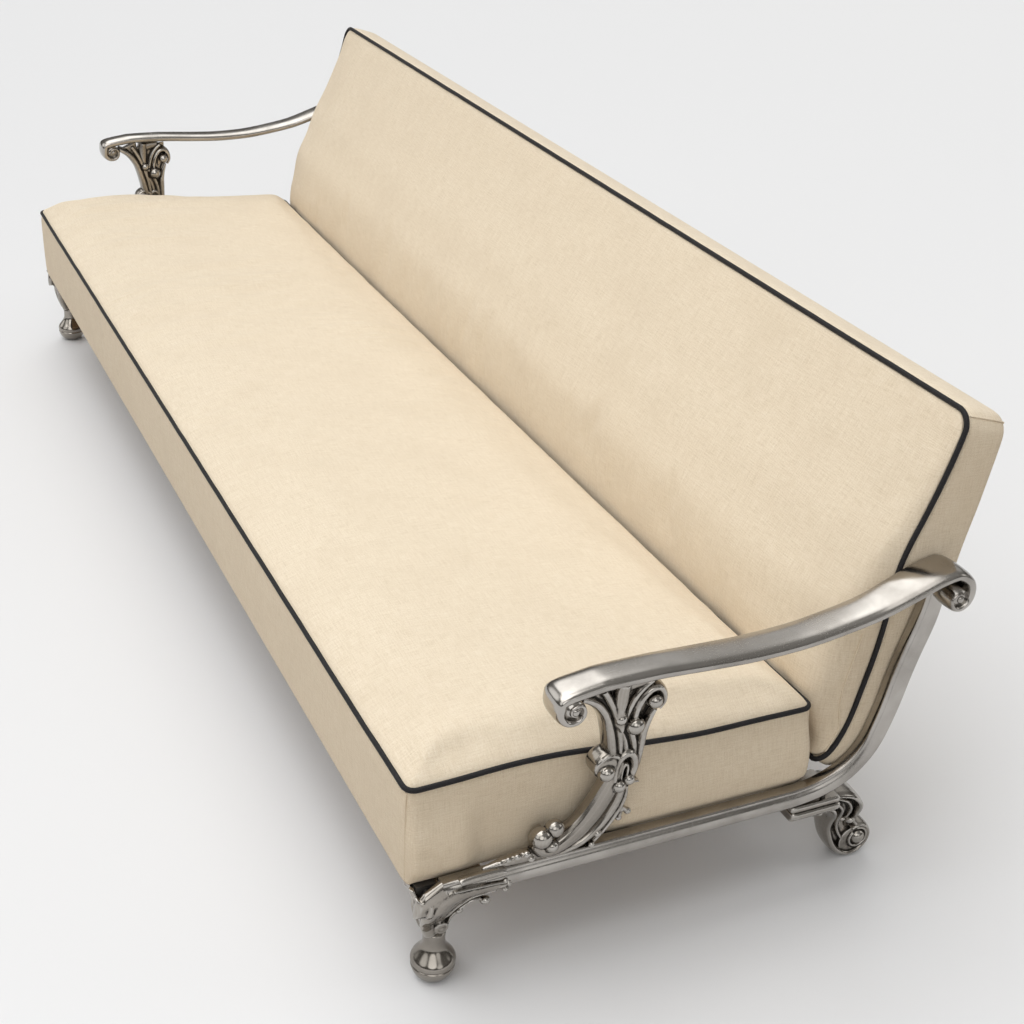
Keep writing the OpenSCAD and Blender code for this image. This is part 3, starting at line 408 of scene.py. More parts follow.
# A skin through rings of equal counts, each end closed
def loftRings(bm, rings):
    loop = bmesh.ops.create_circle(bm, segments=len(rings[0]), radius=1.0)["verts"]
    edges = list({edge for vert in loop for edge in vert.link_edges})
    for vert, point in zip(loop, rings[0]):
        vert.co = point
    ends = [list(edges)]
    for ring in rings[1:]:
        grown = bmesh.ops.extrude_edge_only(bm, edges=edges)["geom"]
        fresh = {item for item in grown if isinstance(item, bmesh.types.BMVert)}
        loop = [next(edge.other_vert(vert) for edge in vert.link_edges if edge.other_vert(vert) in fresh)
                for vert in loop]
        edges = [item for item in grown if isinstance(item, bmesh.types.BMEdge)
                 and all(vert in fresh for vert in item.verts)]
        for vert, point in zip(loop, ring):
            vert.co = point
    ends.append(edges)
    for rim in ends:
        bmesh.ops.holes_fill(bm, edges=rim, sides=0)


def addBall(bm, x, y, z, radius, squash=(1, 1, 1)):
    matrix = Matrix.Translation(place(x, y, z)) @ Matrix.Diagonal((*squash, 1))
    bmesh.ops.create_uvsphere(bm, u_segments=20, v_segments=12, radius=radius / 1000, matrix=matrix)


# A drum that lies across the sofa
def addDrum(bm, x, y, z, radius, depth, sides=40):
    matrix = Matrix.Translation(place(x, y, z)) @ Matrix.Rotation(math.pi / 2, 4, "Y")
    bmesh.ops.create_cone(bm, cap_ends=True, segments=sides, radius1=radius / 1000, radius2=radius / 1000,
                          depth=depth / 1000, matrix=matrix)


# A band drawn in the side view: rows of y, z and width, lying at x with a thickness across the sofa
def addStroke(bm, rows, x, thick, steps=5, power=2.3, sides=16, narrow=1.0):
    rows = smoothRows(rows, steps)
    last = len(rows) - 1
    rings = []
    for i, row in enumerate(rows):
        before, after = rows[max(i - 1, 0)], rows[min(i + 1, last)]
        ty, tz = after[0] - before[0], after[1] - before[1]
        long = math.hypot(ty, tz) or 1.0
        ny, nz = -tz / long, ty / long
        width = row[2] * narrow
        taper = row[3] if len(row) > 3 else 1.0
        rings.append([place(x + s * thick * taper / 2, row[0] + ny * c * width / 2, row[1] + nz * c * width / 2)
                      for c, s in superRing(sides, power)])
    loftRings(bm, rings)


def spiralRows(y, z, outer, inner, start, turn, widthOut, widthIn, count=26):
    rows = []
    for i in range(count + 1):
        t = i / count
        radius = outer + (inner - outer) * t ** 0.85
        angle = math.radians(start + turn * t)
        rows.append((y + radius * math.cos(angle), z + radius * math.sin(angle),
                     widthOut + (widthIn - widthOut) * t))
    return rows


def newObject(name, bm, material, smooth=True):
    bmesh.ops.recalc_face_normals(bm, faces=bm.faces)
    mesh = bpy.data.meshes.new(name)
    bm.to_mesh(mesh)
    bm.free()
    mesh.materials.append(material)
    for polygon in mesh.polygons:
        polygon.use_smooth = smooth
    piece = bpy.data.objects.new(name, mesh)
    scene.collection.objects.link(piece)
    return piece


def bakeModifiers(piece):
    graph = bpy.context.evaluated_depsgraph_get()
    mesh = bpy.data.meshes.new_from_object(piece.evaluated_get(graph))
    old = piece.data
    piece.modifiers.clear()
    piece.data = mesh
    bpy.data.meshes.remove(old)


def mirroredCopy(piece, name):
    mesh = piece.data.copy()
    mesh.name = name
    mesh.transform(Matrix.Diagonal((-1, 1, 1, 1)))
    mesh.flip_normals()
    copy = bpy.data.objects.new(name, mesh)
    scene.collection.objects.link(copy)
    if piece.modifiers:
        subdivided(copy)
    return copy


def settle(piece, body, node):
    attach(piece, body)
    if node:
        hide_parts(node)


# The right piece gets its twin on the left
def settlePair(piece, name, node):
    left = mirroredCopy(piece, name + "Left")
    settle(piece, "sofa", node + "_right")
    settle(left, "sofa", node + "_left")


def subdivided(piece):
    modifier = piece.modifiers.new("smooth", "SUBSURF")
    modifier.levels = modifier.render_levels = 1


# A round cord through places, closed or open, made mesh
def cordObject(name, points, radius, material, closed, sides=3):
    curve = bpy.data.curves.new(name, "CURVE")
    curve.dimensions = "3D"
    curve.bevel_depth = radius / 1000
    curve.bevel_resolution = sides
    curve.use_fill_caps = not closed
    spline = curve.splines.new("POLY")
    spline.points.add(len(points) - 1)
    for spot, point in zip(spline.points, points):
        spot.co = (*point, 1.0)
    spline.use_cyclic_u = closed
    holder = bpy.data.objects.new(name + "Line", curve)
    scene.collection.objects.link(holder)
    graph = bpy.context.evaluated_depsgraph_get()
    mesh = bpy.data.meshes.new_from_object(holder.evaluated_get(graph))
    mesh.name = name
    bpy.data.objects.remove(holder)
    bpy.data.curves.remove(curve)
    mesh.materials.clear()
    mesh.materials.append(material)
    for polygon in mesh.polygons:
        polygon.use_smooth = True
    piece = bpy.data.objects.new(name, mesh)
    scene.collection.objects.link(piece)
    return piece


# A box of squares whose every point is then moved to its place; grain is the count of squares by axis
def boxOfSquares(grain):
    bm = bmesh.new()
    bmesh.ops.create_cube(bm, size=2.0)
    for axis in range(3):
        edges = [edge for edge in bm.edges
                 if abs((edge.verts[0].co - edge.verts[1].co).normalized()[axis]) > 0.9]
        bmesh.ops.subdivide_edges(bm, edges=edges, cuts=grain[axis] - 1, use_grid_fill=True)
    return bm


# A place within a rectangle of two half sizes, drawn in where its corners are round
def roundedPlace(first, second, halfFirst, halfSecond, corner):
    overFirst, overSecond = abs(first) - (halfFirst - corner), abs(second) - (halfSecond - corner)
    if overFirst > 0 and overSecond > 0:
        reach = max(overFirst, overSecond) / math.hypot(overFirst, overSecond)
        first = math.copysign(halfFirst - corner + overFirst * reach, first)
        second = math.copysign(halfSecond - corner + overSecond * reach, second)
    return first, second


# The way round a square from -1 to 1, with a count of steps for its long and its short sides
def squareWay(long, short):
    way = [(-1 + 2 * i / long, -1) for i in range(long)] + [(1, -1 + 2 * i / short) for i in range(short)]
    return way + [(1 - 2 * i / long, 1) for i in range(long)] + [(-1, 1 - 2 * i / short) for i in range(short)]


def closer(value, share):
    return value * (1 - share) + share * math.sin(value * math.pi / 2)


clothLook = {
    "quality": 6, "mass": 0.3, "tension_damping": 8, "compression_damping": 8, "shear_damping": 8, "air_damping": 2,
    "use_pressure": True,
}


# Presses a soft piece out against its own seams and keeps what the cloth does, within a limit
def relaxCloth(piece, pinned, look, calm):
    group = piece.vertex_groups.new(name="pinned")
    group.add(pinned, 1.0, "REPLACE")
    start = [vert.co.copy() for vert in piece.data.vertices]
    cloth = piece.modifiers.new("cloth", "CLOTH")
    settings = cloth.settings
    for key, value in clothLook.items():
        setattr(settings, key, value)
    settings.tension_stiffness = look["tension"]
    settings.compression_stiffness = look["tension"]
    settings.shear_stiffness = look["tension"] * 0.4
    settings.bending_stiffness = look["bending"]
    settings.uniform_pressure_force = look["pressure"]
    settings.shrink_min = look["shrink"]
    settings.vertex_group_mass = "pinned"
    settings.effector_weights.gravity = 0
    cloth.collision_settings.use_collision = False
    cloth.point_cache.frame_end = look["frames"]
    for step in range(1, look["frames"] + 1):
        scene.frame_set(step)
    graph = bpy.context.evaluated_depsgraph_get()
    result = piece.evaluated_get(graph).data
    ended = [vert.co.copy() for vert in result.vertices]
    piece.modifiers.clear()
    scene.frame_set(1)
    for vert, low, high in zip(piece.data.vertices, start, ended):
        step = high - low
        if step.length > look["limit"]:
            step = step.normalized() * look["limit"]
        vert.co = low + step * calm(low)
    piece.vertex_groups.clear()


# Seat: a box cushion with a crowned top, its boxing drawn in under the piping
seatLook = {
    "half": 1260.0, "deep": 648.0, "low": seatLow.z * 1000, "edge": weltTop * 1000 - 4.0,
    "fall": 19.5, "crown": 38.0, "puff": 26.0, "cornerR": 19.0, "rearDraw": 9.0, "lean": 2.0, "hump": 13.0,
    "humpAt": 200.0, "humpWide": 140.0, "dip": 4.0, "dipAt": 450.0, "dipWide": 120.0, "cornerPuff": 7.0,
    "belly": 16.0, "slack": 5.5, "hem": 7.5, "grain": (168, 44, 14), "topInset": 3.6, "earlyWave": 0.4,
    "cloth": {"tension": 18, "bending": 1.2, "pressure": 3.0, "shrink": -0.016, "frames": 18, "limit": 0.011},
}


def drawnIn(share):
    return 1 - abs(share) ** 4


def seatOutline(u, v, inset):
    half, deep = seatLook["half"] - inset, seatLook["deep"] / 2 - inset
    corner = max(seatLook["cornerR"] - inset, seatLook["cornerR"] * 0.35)
    x, y = roundedPlace(u * half, v * deep, half, deep, corner)
    y += seatLook["deep"] / 2
    rear = max(y * 2 / seatLook["deep"] - 1, 0)
    return x, y - seatLook["rearDraw"] * drawnIn(x / half) * rear


def seatWrinkle(x, y):
    ripple = noise.noise(Vector((x / 260, y / 420, 1.7))) * 2.2
    ripple += noise.noise(Vector((x / 110, y / 240, 4.1))) * 0.9
    edge = min(y, seatLook["deep"] - y, seatLook["half"] - abs(x))
    pucker = noise.noise(Vector((x / 34, y / 34, 7.7))) * 1.5 * math.exp(-max(edge, 0) / 26)
    crease = noise.noise(Vector((x / 42, y / 520, 2.2))) * noise.noise(Vector((x / 500, y / 300, 6.4))) * 9.0
    crease *= 0.5 + 1.6 * math.exp(-((x + 520) / 560) ** 2)
    return ripple * ease(edge / 90) + crease * ease(edge / 50) + pucker


# The welt rises a little along the two ends, most at a third of the way back
def endHump(x, y):
    look = seatLook
    lift = look["hump"] * math.exp(-((y - look["humpAt"]) / look["humpWide"]) ** 2)
    lift -= look["dip"] * math.exp(-((y - look["dipAt"]) / look["dipWide"]) ** 2)
    return lift * ease((abs(x) - 1060) / 190)


# Height of the welt, where the top of the seat meets its boxing
def seatWelt(x, y):
    return seatLook["edge"] - seatLook["fall"] * y / seatLook["deep"] + endHump(x, y)


def seatTop(x, y):
    half, deep = seatLook["half"], seatLook["deep"]
    sideX = clamp((half - abs(x)) / 220)
    sideY = clamp(1 - abs(y - deep / 2) / (deep / 2))
    rise = (1 - (1 - sideX) ** 3) * (1 - (1 - sideY) ** 2.6)
    edge = max(min(y, deep - y, half - abs(x)), 0)
    puff = seatLook["puff"] * (1 - math.exp(-edge / 24))
    return (seatLook["crown"] - seatLook["puff"]) * rise + puff


def seatWall(level):
    return 1.0 + 2.2 * (1 - level) ** 4 + 2.6 * ease((level - 0.86) / 0.14)


# The front of the boxing leans back towards its lower edge
def seatLean(y, level):
    return seatLook["lean"] * (1 - level) ** 1.6 * clamp(1 - y / seatLook["deep"])


# The ends of the boxing sag over the bars, but for the stretch that the cast bracket holds back
def endBelly(y, z):
    slack, belly = seatLook["slack"], seatLook["belly"]
    clear = 294 + 46 * ease((z - 222) / 50)
    free = max(ease((108 - y) / 20), ease((y - clear) / 24)) * ease((y + 4) / 14)
    return free * ease((325 - z) / 95) * (slack + (belly - slack) * ease((z - 199) / 11) * ease((656 - y) / 24))


# The rear corners puff into the room beside the rounded end of the back
def cornerBelly(x, y, z):
    puff = seatLook["cornerPuff"] * ease((abs(x) - 1236) / 24) * ease((y - 600) / 40)
    return puff * ease((330 - z) / 90) * ease((z - 194) / 14)


def seatCalm(spot):
    x, y, z = inMillimetres(spot)
    return ease(min(y, seatLook["deep"] - y, seatLook["half"] - abs(x)) / 60)


# The boxing stays put at its foot, along the welt and where it touches the deck
def seatHeld(spot):
    look = seatLook
    x, y, z = inMillimetres(spot)
    edge = min(y, look["deep"] - y - look["rearDraw"] * drawnIn(x / look["half"]), look["half"] - abs(x))
    above = z - look["low"]
    return above < 10 or (edge < 8 and abs(z - seatWelt(x, y)) < 3) or (edge < 0.5 and above < 90)


def buildSeat():
    look = seatLook
    bm = boxOfSquares(look["grain"])
    tall = look["edge"] - look["low"]
    for vert in bm.verts:
        u, v, level = closer(vert.co.x, 0.25), closer(vert.co.y, 0.35), (vert.co.z + 1) / 2
        onTop = abs(vert.co.z - 1) < 1e-6
        x, y = seatOutline(u, v, look["topInset"] if onTop else seatWall(level))
        y += 0 if onTop else seatLean(y, level)
        z = look["low"] + tall * level - look["fall"] * level * y / look["deep"]
        if abs(vert.co.x) > 0.9999 and not onTop:
            x = math.copysign(abs(x) + endBelly(y, z), x)
        y += 0 if onTop else cornerBelly(x, y, z)
        if vert.co.y < -0.9999:
            z -= look["hem"] * (1 - level) ** 6
        z += endHump(x, y) * level
        z += seatTop(x, y) if onTop else 0
        if onTop:
            z += seatWrinkle(x, y) * look["earlyWave"]
        vert.co = place(x, y, z)
    seat = newObject("seatCover", bm, linen)
    pinned = [vert.index for vert in seat.data.vertices if seatHeld(vert.co)]
    relaxCloth(seat, pinned, look["cloth"], seatCalm)
    for vert in seat.data.vertices:
        x, y, z = inMillimetres(vert.co)
        if z > seatWelt(x, y) + 1.5:
            vert.co.z += seatWrinkle(x, y) / 1000
    subdivided(seat)
    settle(seat, "seat", "seat_cushion")


def buildSeatPiping():
    points = []
    for u, v in squareWay(420, 110):
        x, y = seatOutline(u, v, 3.2)
        sway = noise.noise(Vector((x / 70, y / 70, 0.3))) * 0.7
        points.append(place(x, y, seatWelt(x, y) + sway))
    cord = cordObject("seatPipingCord", points, 4.0, pipingCloth, True, 4)
    settle(cord, "seat", "seat_piping")


# Fine self-seams down the corners of the boxing
def buildSeatSeams():
    look = seatLook
    for index, (u, v) in enumerate(((-1, -1), (1, -1), (1, 1), (-1, 1))):
        points = []
        for i in range(30):
            level = 0.02 + 0.955 * i / 29
            x, y = seatOutline(u * 0.9945, v, seatWall(level) - 0.2)
            y += seatLean(y, level)
            tall = (look["edge"] - look["low"]) * level
            points.append(place(x, y, look["low"] + tall - look["fall"] * level * y / look["deep"]))
        seam = cordObject("seatSeam" + str(index), points, 1.5, linen, False, 2)
        settle(seam, "seat", None)


buildSeat()
buildSeatPiping()
buildSeatSeams()
print("seat built")


# Back: rows of height, place of the piping line, fullness in front of it and depth behind it
backLook = {
    "half": 1268.0, "low": 220.0, "tall": 558.0, "run": 169.0, "thick": 122.0, "crown": 22.0, "bulge": 68.0,
    "frontY": 654.5, "topR": 30.0, "footR": 16.0, "topFall": 21.0, "footFall": 22.0, "rearDraw": 9.0,
    "rollR": 38.0, "rearR": 13.0, "padInset": 7.0, "foot": 7.4, "dome": 7.0, "bow": 2.4, "pull": 2.6,
    "seamLow": 238.0, "seamTall": 202.0, "padGrain": (168, 5, 44), "shellGrain": (150, 9, 36),
    "cloth": {"tension": 18, "bending": 1.2, "pressure": 2.4, "shrink": -0.015, "frames": 16, "limit": 0.005},
}
weltY = (0, 0.14, 0.23, 0.32, 0.39, 0.46, 0.51, 0.525, 0.585, 0.74, 0.89, 1)
weltZ = (0, 0.03, 0.065, 0.13, 0.22, 0.32, 0.43, 0.53, 0.62, 0.74, 0.87, 1)
weltBulge = (0, 0.15, 0.33, 0.76, 0.98, 1, 0.92, 0.57, 0.38, 0.23, 0.12, 0)
weltDepth = (0.34, 0.36, 0.4, 0.52, 0.68, 0.77, 0.86, 0.95, 0.94, 0.84, 0.72, 0.64)
backRows = smoothRows([
    (backLook["low"] + backLook["tall"] * z, backLook["frontY"] + backLook["run"] * y,
     backLook["bulge"] * b, backLook["thick"] * d)
    for y, z, b, d in zip(weltY, weltZ, weltBulge, weltDepth)], 4)


def weltAt(z):
    return lookUp(backRows, z, 1)


def leanStep(z, step):
    low = backLook["low"]
    a, b = max(z - 6, low), min(z + 6, low + backLook["tall"])
    return step * math.hypot(1, (weltAt(b) - weltAt(a)) / (b - a))


def padFace(x, z):
    look = backLook
    u = x / look["half"]
    full = math.sin(math.pi * clamp((z - look["low"]) / look["tall"])) * (1 - abs(u) ** 3)
    y = weltAt(z) - max(lookUp(backRows, z, 2), 0) - look["crown"] * full
    seatRear = look["frontY"] - 2.0 - look["rearDraw"] * drawnIn(u)
    return max(y, seatRear)


def cornerCut(past, radius):
    return radius - math.sqrt(max(radius * radius - max(past, 0) ** 2, 0))


def padWrinkle(x, z):
    ripple = noise.noise(Vector((x / 300, z / 190, 11.3))) * 2.2
    ripple += noise.noise(Vector((x / 120, z / 90, 3.4))) * 0.9
    edge = min(z - backLook["low"] - 8, backLook["low"] + backLook["tall"] - 8 - z, backLook["half"] - 8 - abs(x))
    pucker = noise.noise(Vector((x / 36, z / 36, 5.1))) * 1.6 * math.exp(-max(edge, 0) / 26)
    return ripple * ease(edge / 80) + pucker


def padCalm(spot):
    x, y, z = inMillimetres(spot)
    edge = min(z - backLook["low"], backLook["low"] + backLook["tall"] - z, backLook["half"] - abs(x))
    return ease(edge / 120)


# Depth of the front of the back between its piping and its face, and the roll that this leaves room for
def rollAt(x, z):
    room = max(weltAt(z) + leanStep(z, 6.8) - padFace(x, z) - 9, 0)
    return room, min(backLook["rollR"], room * 0.9)


# The pad stays put along its seams
def padHeld(spot):
    look = backLook
    x, y, z = inMillimetres(spot)
    above = z - look["low"]
    atEnd = abs(x) > look["half"] - look["padInset"] - 4 and y < weltAt(z) + 40
    return y > weltAt(z) - 3 or above < 9 or above > look["tall"] - 9 or atEnd


def buildPad():
    look = backLook
    bm = boxOfSquares(look["padGrain"])
    halfPad, top = look["half"] - look["padInset"], look["low"] + look["tall"]
    for vert in bm.verts:
        u, v, w = closer(vert.co.x, 0.35), vert.co.y, closer(vert.co.z, 0.2)
        x = u * halfPad
        low = look["low"] + look["foot"] + cornerCut(abs(x) - look["half"] + look["footR"], look["footR"] - 7)
        high = top - look["foot"] - cornerCut(abs(x) - look["half"] + look["topR"], look["topR"] - 7)
        z = low + (high - low) * (w + 1) / 2
        rear = weltAt(z) + leanStep(z, 6.8)
        front = padFace(x, z)
        room, roll = rollAt(x, z)
        front += cornerCut(abs(x) - (halfPad - roll), roll) if roll > 0.5 else 0
        front += 3.0 * math.exp(-max(min(z - low, high - z), 0) / 9)
        share = (v + 1) / 2
        bow = math.sin(math.pi * share) * min(room / 50, 1) * 2.5
        x = math.copysign(abs(x) + (bow if abs(vert.co.x) > 0.9999 else 0), x)
        vert.co = place(x, front + (rear - front) * share, z)
    pad = newObject("backCover", bm, linen)
    pinned = [vert.index for vert in pad.data.vertices if padHeld(vert.co)]
    relaxCloth(pad, pinned, look["cloth"], padCalm)
    for vert in pad.data.vertices:
        x, y, z = inMillimetres(vert.co)
        if y < weltAt(z) + 2 and abs(x) < halfPad - 4:
            vert.co.y -= padWrinkle(x, z) / 1000
        seatRear = look["frontY"] - look["rearDraw"] * drawnIn(x / seatLook["half"])
        vert.co.y = max(vert.co.y, frontY + (seatRear - 2.2) / 1000)
    subdivided(pad)
    settle(pad, "sofa", "back_pad")


def shellOutline(u, w, inset):
    look = backLook
    half, tall = look["half"] - inset, look["tall"] / 2 - inset
    corner = max((look["topR"] if w > 0 else look["footR"]) - inset, 8)
    x, z = roundedPlace(u * half, w * tall, half, tall, corner)
    return x, z + look["low"] + look["tall"] / 2


# A place on the boxing of the back: share 0 lies at the piping and 1 on the rear panel
def shellSpot(u, w, share, proud=0.0):
    look = backLook
    top = look["low"] + look["tall"]
    rearR = look["rearR"]
    x, z = shellOutline(u, w, 0)
    deep = lookUp(backRows, z, 3)
    x, z = shellOutline(u, w, cornerCut(deep * share - deep + rearR, rearR) - proud)    # rounded at the rear
    front = weltAt(z) + leanStep(z, 7.4)
    rear = weltAt(z) + lookUp(backRows, z, 3)
    edge = min(top - z, z - look["low"], look["half"] - abs(x))
    dome = look["dome"] * ease((edge - rearR) / 160)
    dome += noise.noise(Vector((x / 260, z / 200, 21.0))) * 1.5 * ease((edge - rearR) / 60)
    y = front + (rear - front) * share + dome * ease((share - 0.97) / 0.03)
    z -= look["topFall"] * share * ease((z - top + 150) / 150)
    z -= look["footFall"] * share * ease((look["low"] + 70 - z) / 70)
    bulge = math.sin(math.pi * min(share, 1)) * look["bow"]
    x = math.copysign(abs(x) + (bulge - look["pull"]) * ease((abs(u) - 0.98) / 0.02), x)
    z += bulge * 0.6 * ease((w - 0.96) / 0.04)
    return place(x, y, z)


def buildShell():
    look = backLook
    bm = boxOfSquares(look["shellGrain"])
    for vert in bm.verts:
        u, w = closer(vert.co.x, 0.35), closer(vert.co.z, 0.2)
        vert.co = shellSpot(u, w, 1 - (1 - (vert.co.y + 1) / 2) ** 1.8)
    shell = newObject("backBoxing", bm, linen)
    subdivided(shell)
    settle(shell, "sofa", "back_shell")


def buildBackPiping():
    points = []
    for u, w in squareWay(420, 120):
        x, z = shellOutline(u, w, 3.2)
        sway = noise.noise(Vector((x / 70, z / 70, 9.1))) * 0.7
        points.append(place(x, weltAt(z) + leanStep(z, 3.2) - 0.4 + sway, z))
    cord = cordObject("backPipingCord", points, 4.0, pipingCloth, True, 4)
    settle(cord, "sofa", "back_piping")


# Self-seams: down the ends of the lumbar roll and across the boxing at its upper corners
def buildBackSeams():
    look = backLook
    for side, word in ((-1, "Left"), (1, "Right")):
        roll = []
        for i in range(40):
            z = look["seamLow"] + look["seamTall"] * i / 39
            spot = look["half"] - 8
            roll.append(place(side * (look["half"] - 6.6), padFace(spot, z) + rollAt(spot, z)[1], z))
        corner = [shellSpot(side, 1, 0.02 + 0.9 * i / 19, 0.3) for i in range(20)]
        for name, points in (("lumbarSeam", roll), ("cornerSeam", corner)):
            settle(cordObject(name + word, points, 1.3, linen, False, 2), "sofa", None)


buildPad()
buildShell()
buildBackPiping()
buildBackSeams()
print("back built")


# Side frames: bent bars with rounded edges
barLook = {
    "mid": 1278.3, "thick": 20.0, "railTall": 32.0, "railTop": 200.0, "wide": 36.0, "start": 48.0,
    "bendY": 614.0, "run": 178.0, "top": 539.6, "cornerR": 3.4,
}
bendY = (0, 0.23, 0.43, 0.56, 0.65, 0.71, 0.76, 0.81, 0.87, 0.95, 0.99, 1, 1)
bendZ = (0, 0.015, 0.055, 0.11, 0.18, 0.27, 0.37, 0.5, 0.62, 0.76, 0.86, 0.94, 1)
bendWide = (0, 0, 0.1, 0.2, 0.4, 0.6, 0.8, 1, 1, 1, 1, 1, 1)
bendNarrow = (1, 1, 1, 1, 1, 1, 1, 1, 1, 1, 0.95, 0.82, 0.68)


barGroove = ((0, 6.2), (1.3, 6.7), (1.3, 7.5), (0, 8.0))    # how deep, and how far below the top edge


# Section of a bar with rounded edges
def barRing(x, y, z, ny, nz, thick, wide, corner, groove=False):
    ring = []
    for cx, cn, start in ((1, -1, -90), (1, 1, 0), (-1, 1, 90), (-1, -1, 180)):
        for step in range(4):
            angle = math.radians(start + 30 * step)
            dx = cx * (thick / 2 - corner) + corner * math.cos(angle)
            dn = cn * (wide / 2 - corner) + corner * math.sin(angle)
            ring.append(place(x + dx, y + ny * dn, z + nz * dn))
        if start == -90 and groove:
            for depth, down in barGroove:
                dn = down - wide / 2
                ring.append(place(x + thick / 2 - depth, y + ny * dn, z + nz * dn))
    return ring


def buildBar():
    look = barLook
    rise = look["top"] - look["railTop"]
    rows = smoothRows([
        (look["bendY"] + look["run"] * y, look["railTop"] + rise * z,
         (look["railTall"] + (look["wide"] - look["railTall"]) * w) * n)
        for y, z, w, n in zip(bendY, bendZ, bendWide, bendNarrow)], 5)
    straight = [(look["start"] + (look["bendY"] - look["start"]) * s / 12, look["railTop"], look["railTall"])
                for s in range(12)]
    rows = straight + rows
    last = len(rows) - 1
    rings = []
    for i, row in enumerate(rows):
        before, after = rows[max(i - 1, 0)], rows[min(i + 1, last)]
        ty, tz = after[0] - before[0], after[1] - before[1]
        if i == last:
            ty, tz = 0, 1
        long = math.hypot(ty, tz)
        ny, nz = tz / long, -ty / long
        cy, cz = row[0] + ny * row[2] / 2, min(row[1], look["top"]) + nz * row[2] / 2
        rings.append(barRing(look["mid"], cy, cz, ny, nz, look["thick"], row[2], look["cornerR"], True))
    bm = bmesh.new()
    loftRings(bm, rings)
    right = newObject("sideBarRight", bm, barNickel)
    settlePair(right, "sideBar", "side_frame")


# Arms: one band that flares over the upright and rolls into a scroll at each end
armLook = {
    "mid": 1310.0, "wide": 51.0, "thick": 18.5, "midZ": 503.2, "rise": 56.0, "flare": 14.0,
    "frontEye": (202.0, 474.0), "span": 609.0, "rearEye": (811.0, 519.5), "frontR": 28.0, "rearR": 24.5,
    "sides": 28, "crown": 0.16,
}
armY = (0.05, 0.09, 0.2, 0.26, 0.34, 0.45, 0.57, 0.67, 0.78, 0.86, 0.93, 0.97)
armZ = (-0.04, 0, 0, -0.03, -0.08, -0.125, -0.08, 0.06, 0.29, 0.57, 0.84, 0.95)
armFlare = (0, 0, 0.06, 0.14, 0.25, 0.36, 0.42, 0.46, 0.6, 0.86, 1, 1)
frontTurn = ((640, 0.2, 0.3), (560, 0.24, 0.34), (490, 0.3, 0.36), (420, 0.40, 0.4), (375, 0.46, 0.45),
             (330, 0.53, 0.52), (285, 0.61, 0.6), (240, 0.68, 0.68), (200, 0.75, 0.76), (160, 0.78, 0.86),
             (125, 0.84, 0.95))
rearTurn = ((95, 1.5, 1, 1), (55, 1.15, 0.95, 0.3), (15, 0.88, 0.85, 0), (-30, 0.76, 0.75, -0.1),
            (-75, 0.71, 0.66, -0.15), (-120, 0.66, 0.58, -0.2), (-165, 0.58, 0.5, -0.2), (-210, 0.48, 0.42, -0.2),
            (-260, 0.36, 0.36, -0.2), (-320, 0.26, 0.32, -0.2))


def buildArm():
    look = armLook
    front, rear = look["frontEye"], look["rearEye"]
    rows = []

    def addRow(eye, y, z, flare, thick):
        rows.append((eye[0] + y, z, look["mid"] - look["flare"] * flare / 2, look["wide"] + look["flare"] * flare,
                     look["thick"] * thick))
    for angle, radius, thick in frontTurn:
        a, r = math.radians(angle), look["frontR"] * radius
        addRow(front, r * math.cos(a), front[1] + r * math.sin(a), 0, thick)
    for y, z, flare in zip(armY, armZ, armFlare):
        addRow(front, look["span"] * y, look["midZ"] + look["rise"] * z, flare, 1)
    for angle, radius, thick, flare in rearTurn:
        a, r = math.radians(angle), look["rearR"] * radius
        addRow(rear, r * math.cos(a), rear[1] + r * math.sin(a), flare, thick)
    rows = smoothRows(rows, 4)
    last = len(rows) - 1
    rings = []
    for i, row in enumerate(rows):
        before, after = rows[max(i - 1, 0)], rows[min(i + 1, last)]
        ty, tz = after[0] - before[0], after[1] - before[1]
        long = math.hypot(ty, tz) or 1
        ny, nz = -tz / long, ty / long
        ring = []
        for c, s in superRing(look["sides"], 3.2, 0.5):
            up = s * row[4] / 2 * (1 - look["crown"] * c * c * (1 if s > 0 else 0.4))
            ring.append(place(row[2] + c * row[3] / 2, row[0] + ny * up, row[1] + nz * up))
        rings.append(ring)
    bm = bmesh.new()
    loftRings(bm, rings)

    # rolls that fill the two scrolls
    for (y, z), radius, inset in ((look["frontEye"], look["frontR"] * 0.5, 3.6),
                                  (look["rearEye"], look["rearR"] * 0.56, 3.0)):
        deep = look["wide"] - 2 * inset
        addDrum(bm, look["mid"], y, z, radius, deep, 48)
        for side in (-1, 1):
            addBall(bm, look["mid"] + side * deep / 2, y, z, radius * 0.42, (0.7, 1, 1))
    right = newObject("armBandRight", bm, barNickel)
    settlePair(right, "armBand", "arm")


buildBar()
buildArm()
print("bars and arms built")


# Ball feet
footLook = {"x": 1245.3, "y": 56.0, "radius": 33.0, "tall": 84.0}
footProfile = ((0, 0), (0.42, 0), (0.6, 0.022), (0.76, 0.07), (0.88, 0.14), (0.955, 0.215), (0.985, 0.27),
               (0.985, 0.29), (0.94, 0.302), (0.94, 0.318), (0.985, 0.33), (1, 0.365), (0.995, 0.4),
               (0.95, 0.445), (0.875, 0.485), (0.785, 0.53), (0.7, 0.575), (0.62, 0.62), (0.555, 0.665),
               (0.515, 0.715), (0.495, 0.77), (0.49, 0.83), (0.495, 0.89), (0.51, 0.94), (0.53, 1), (0, 1))


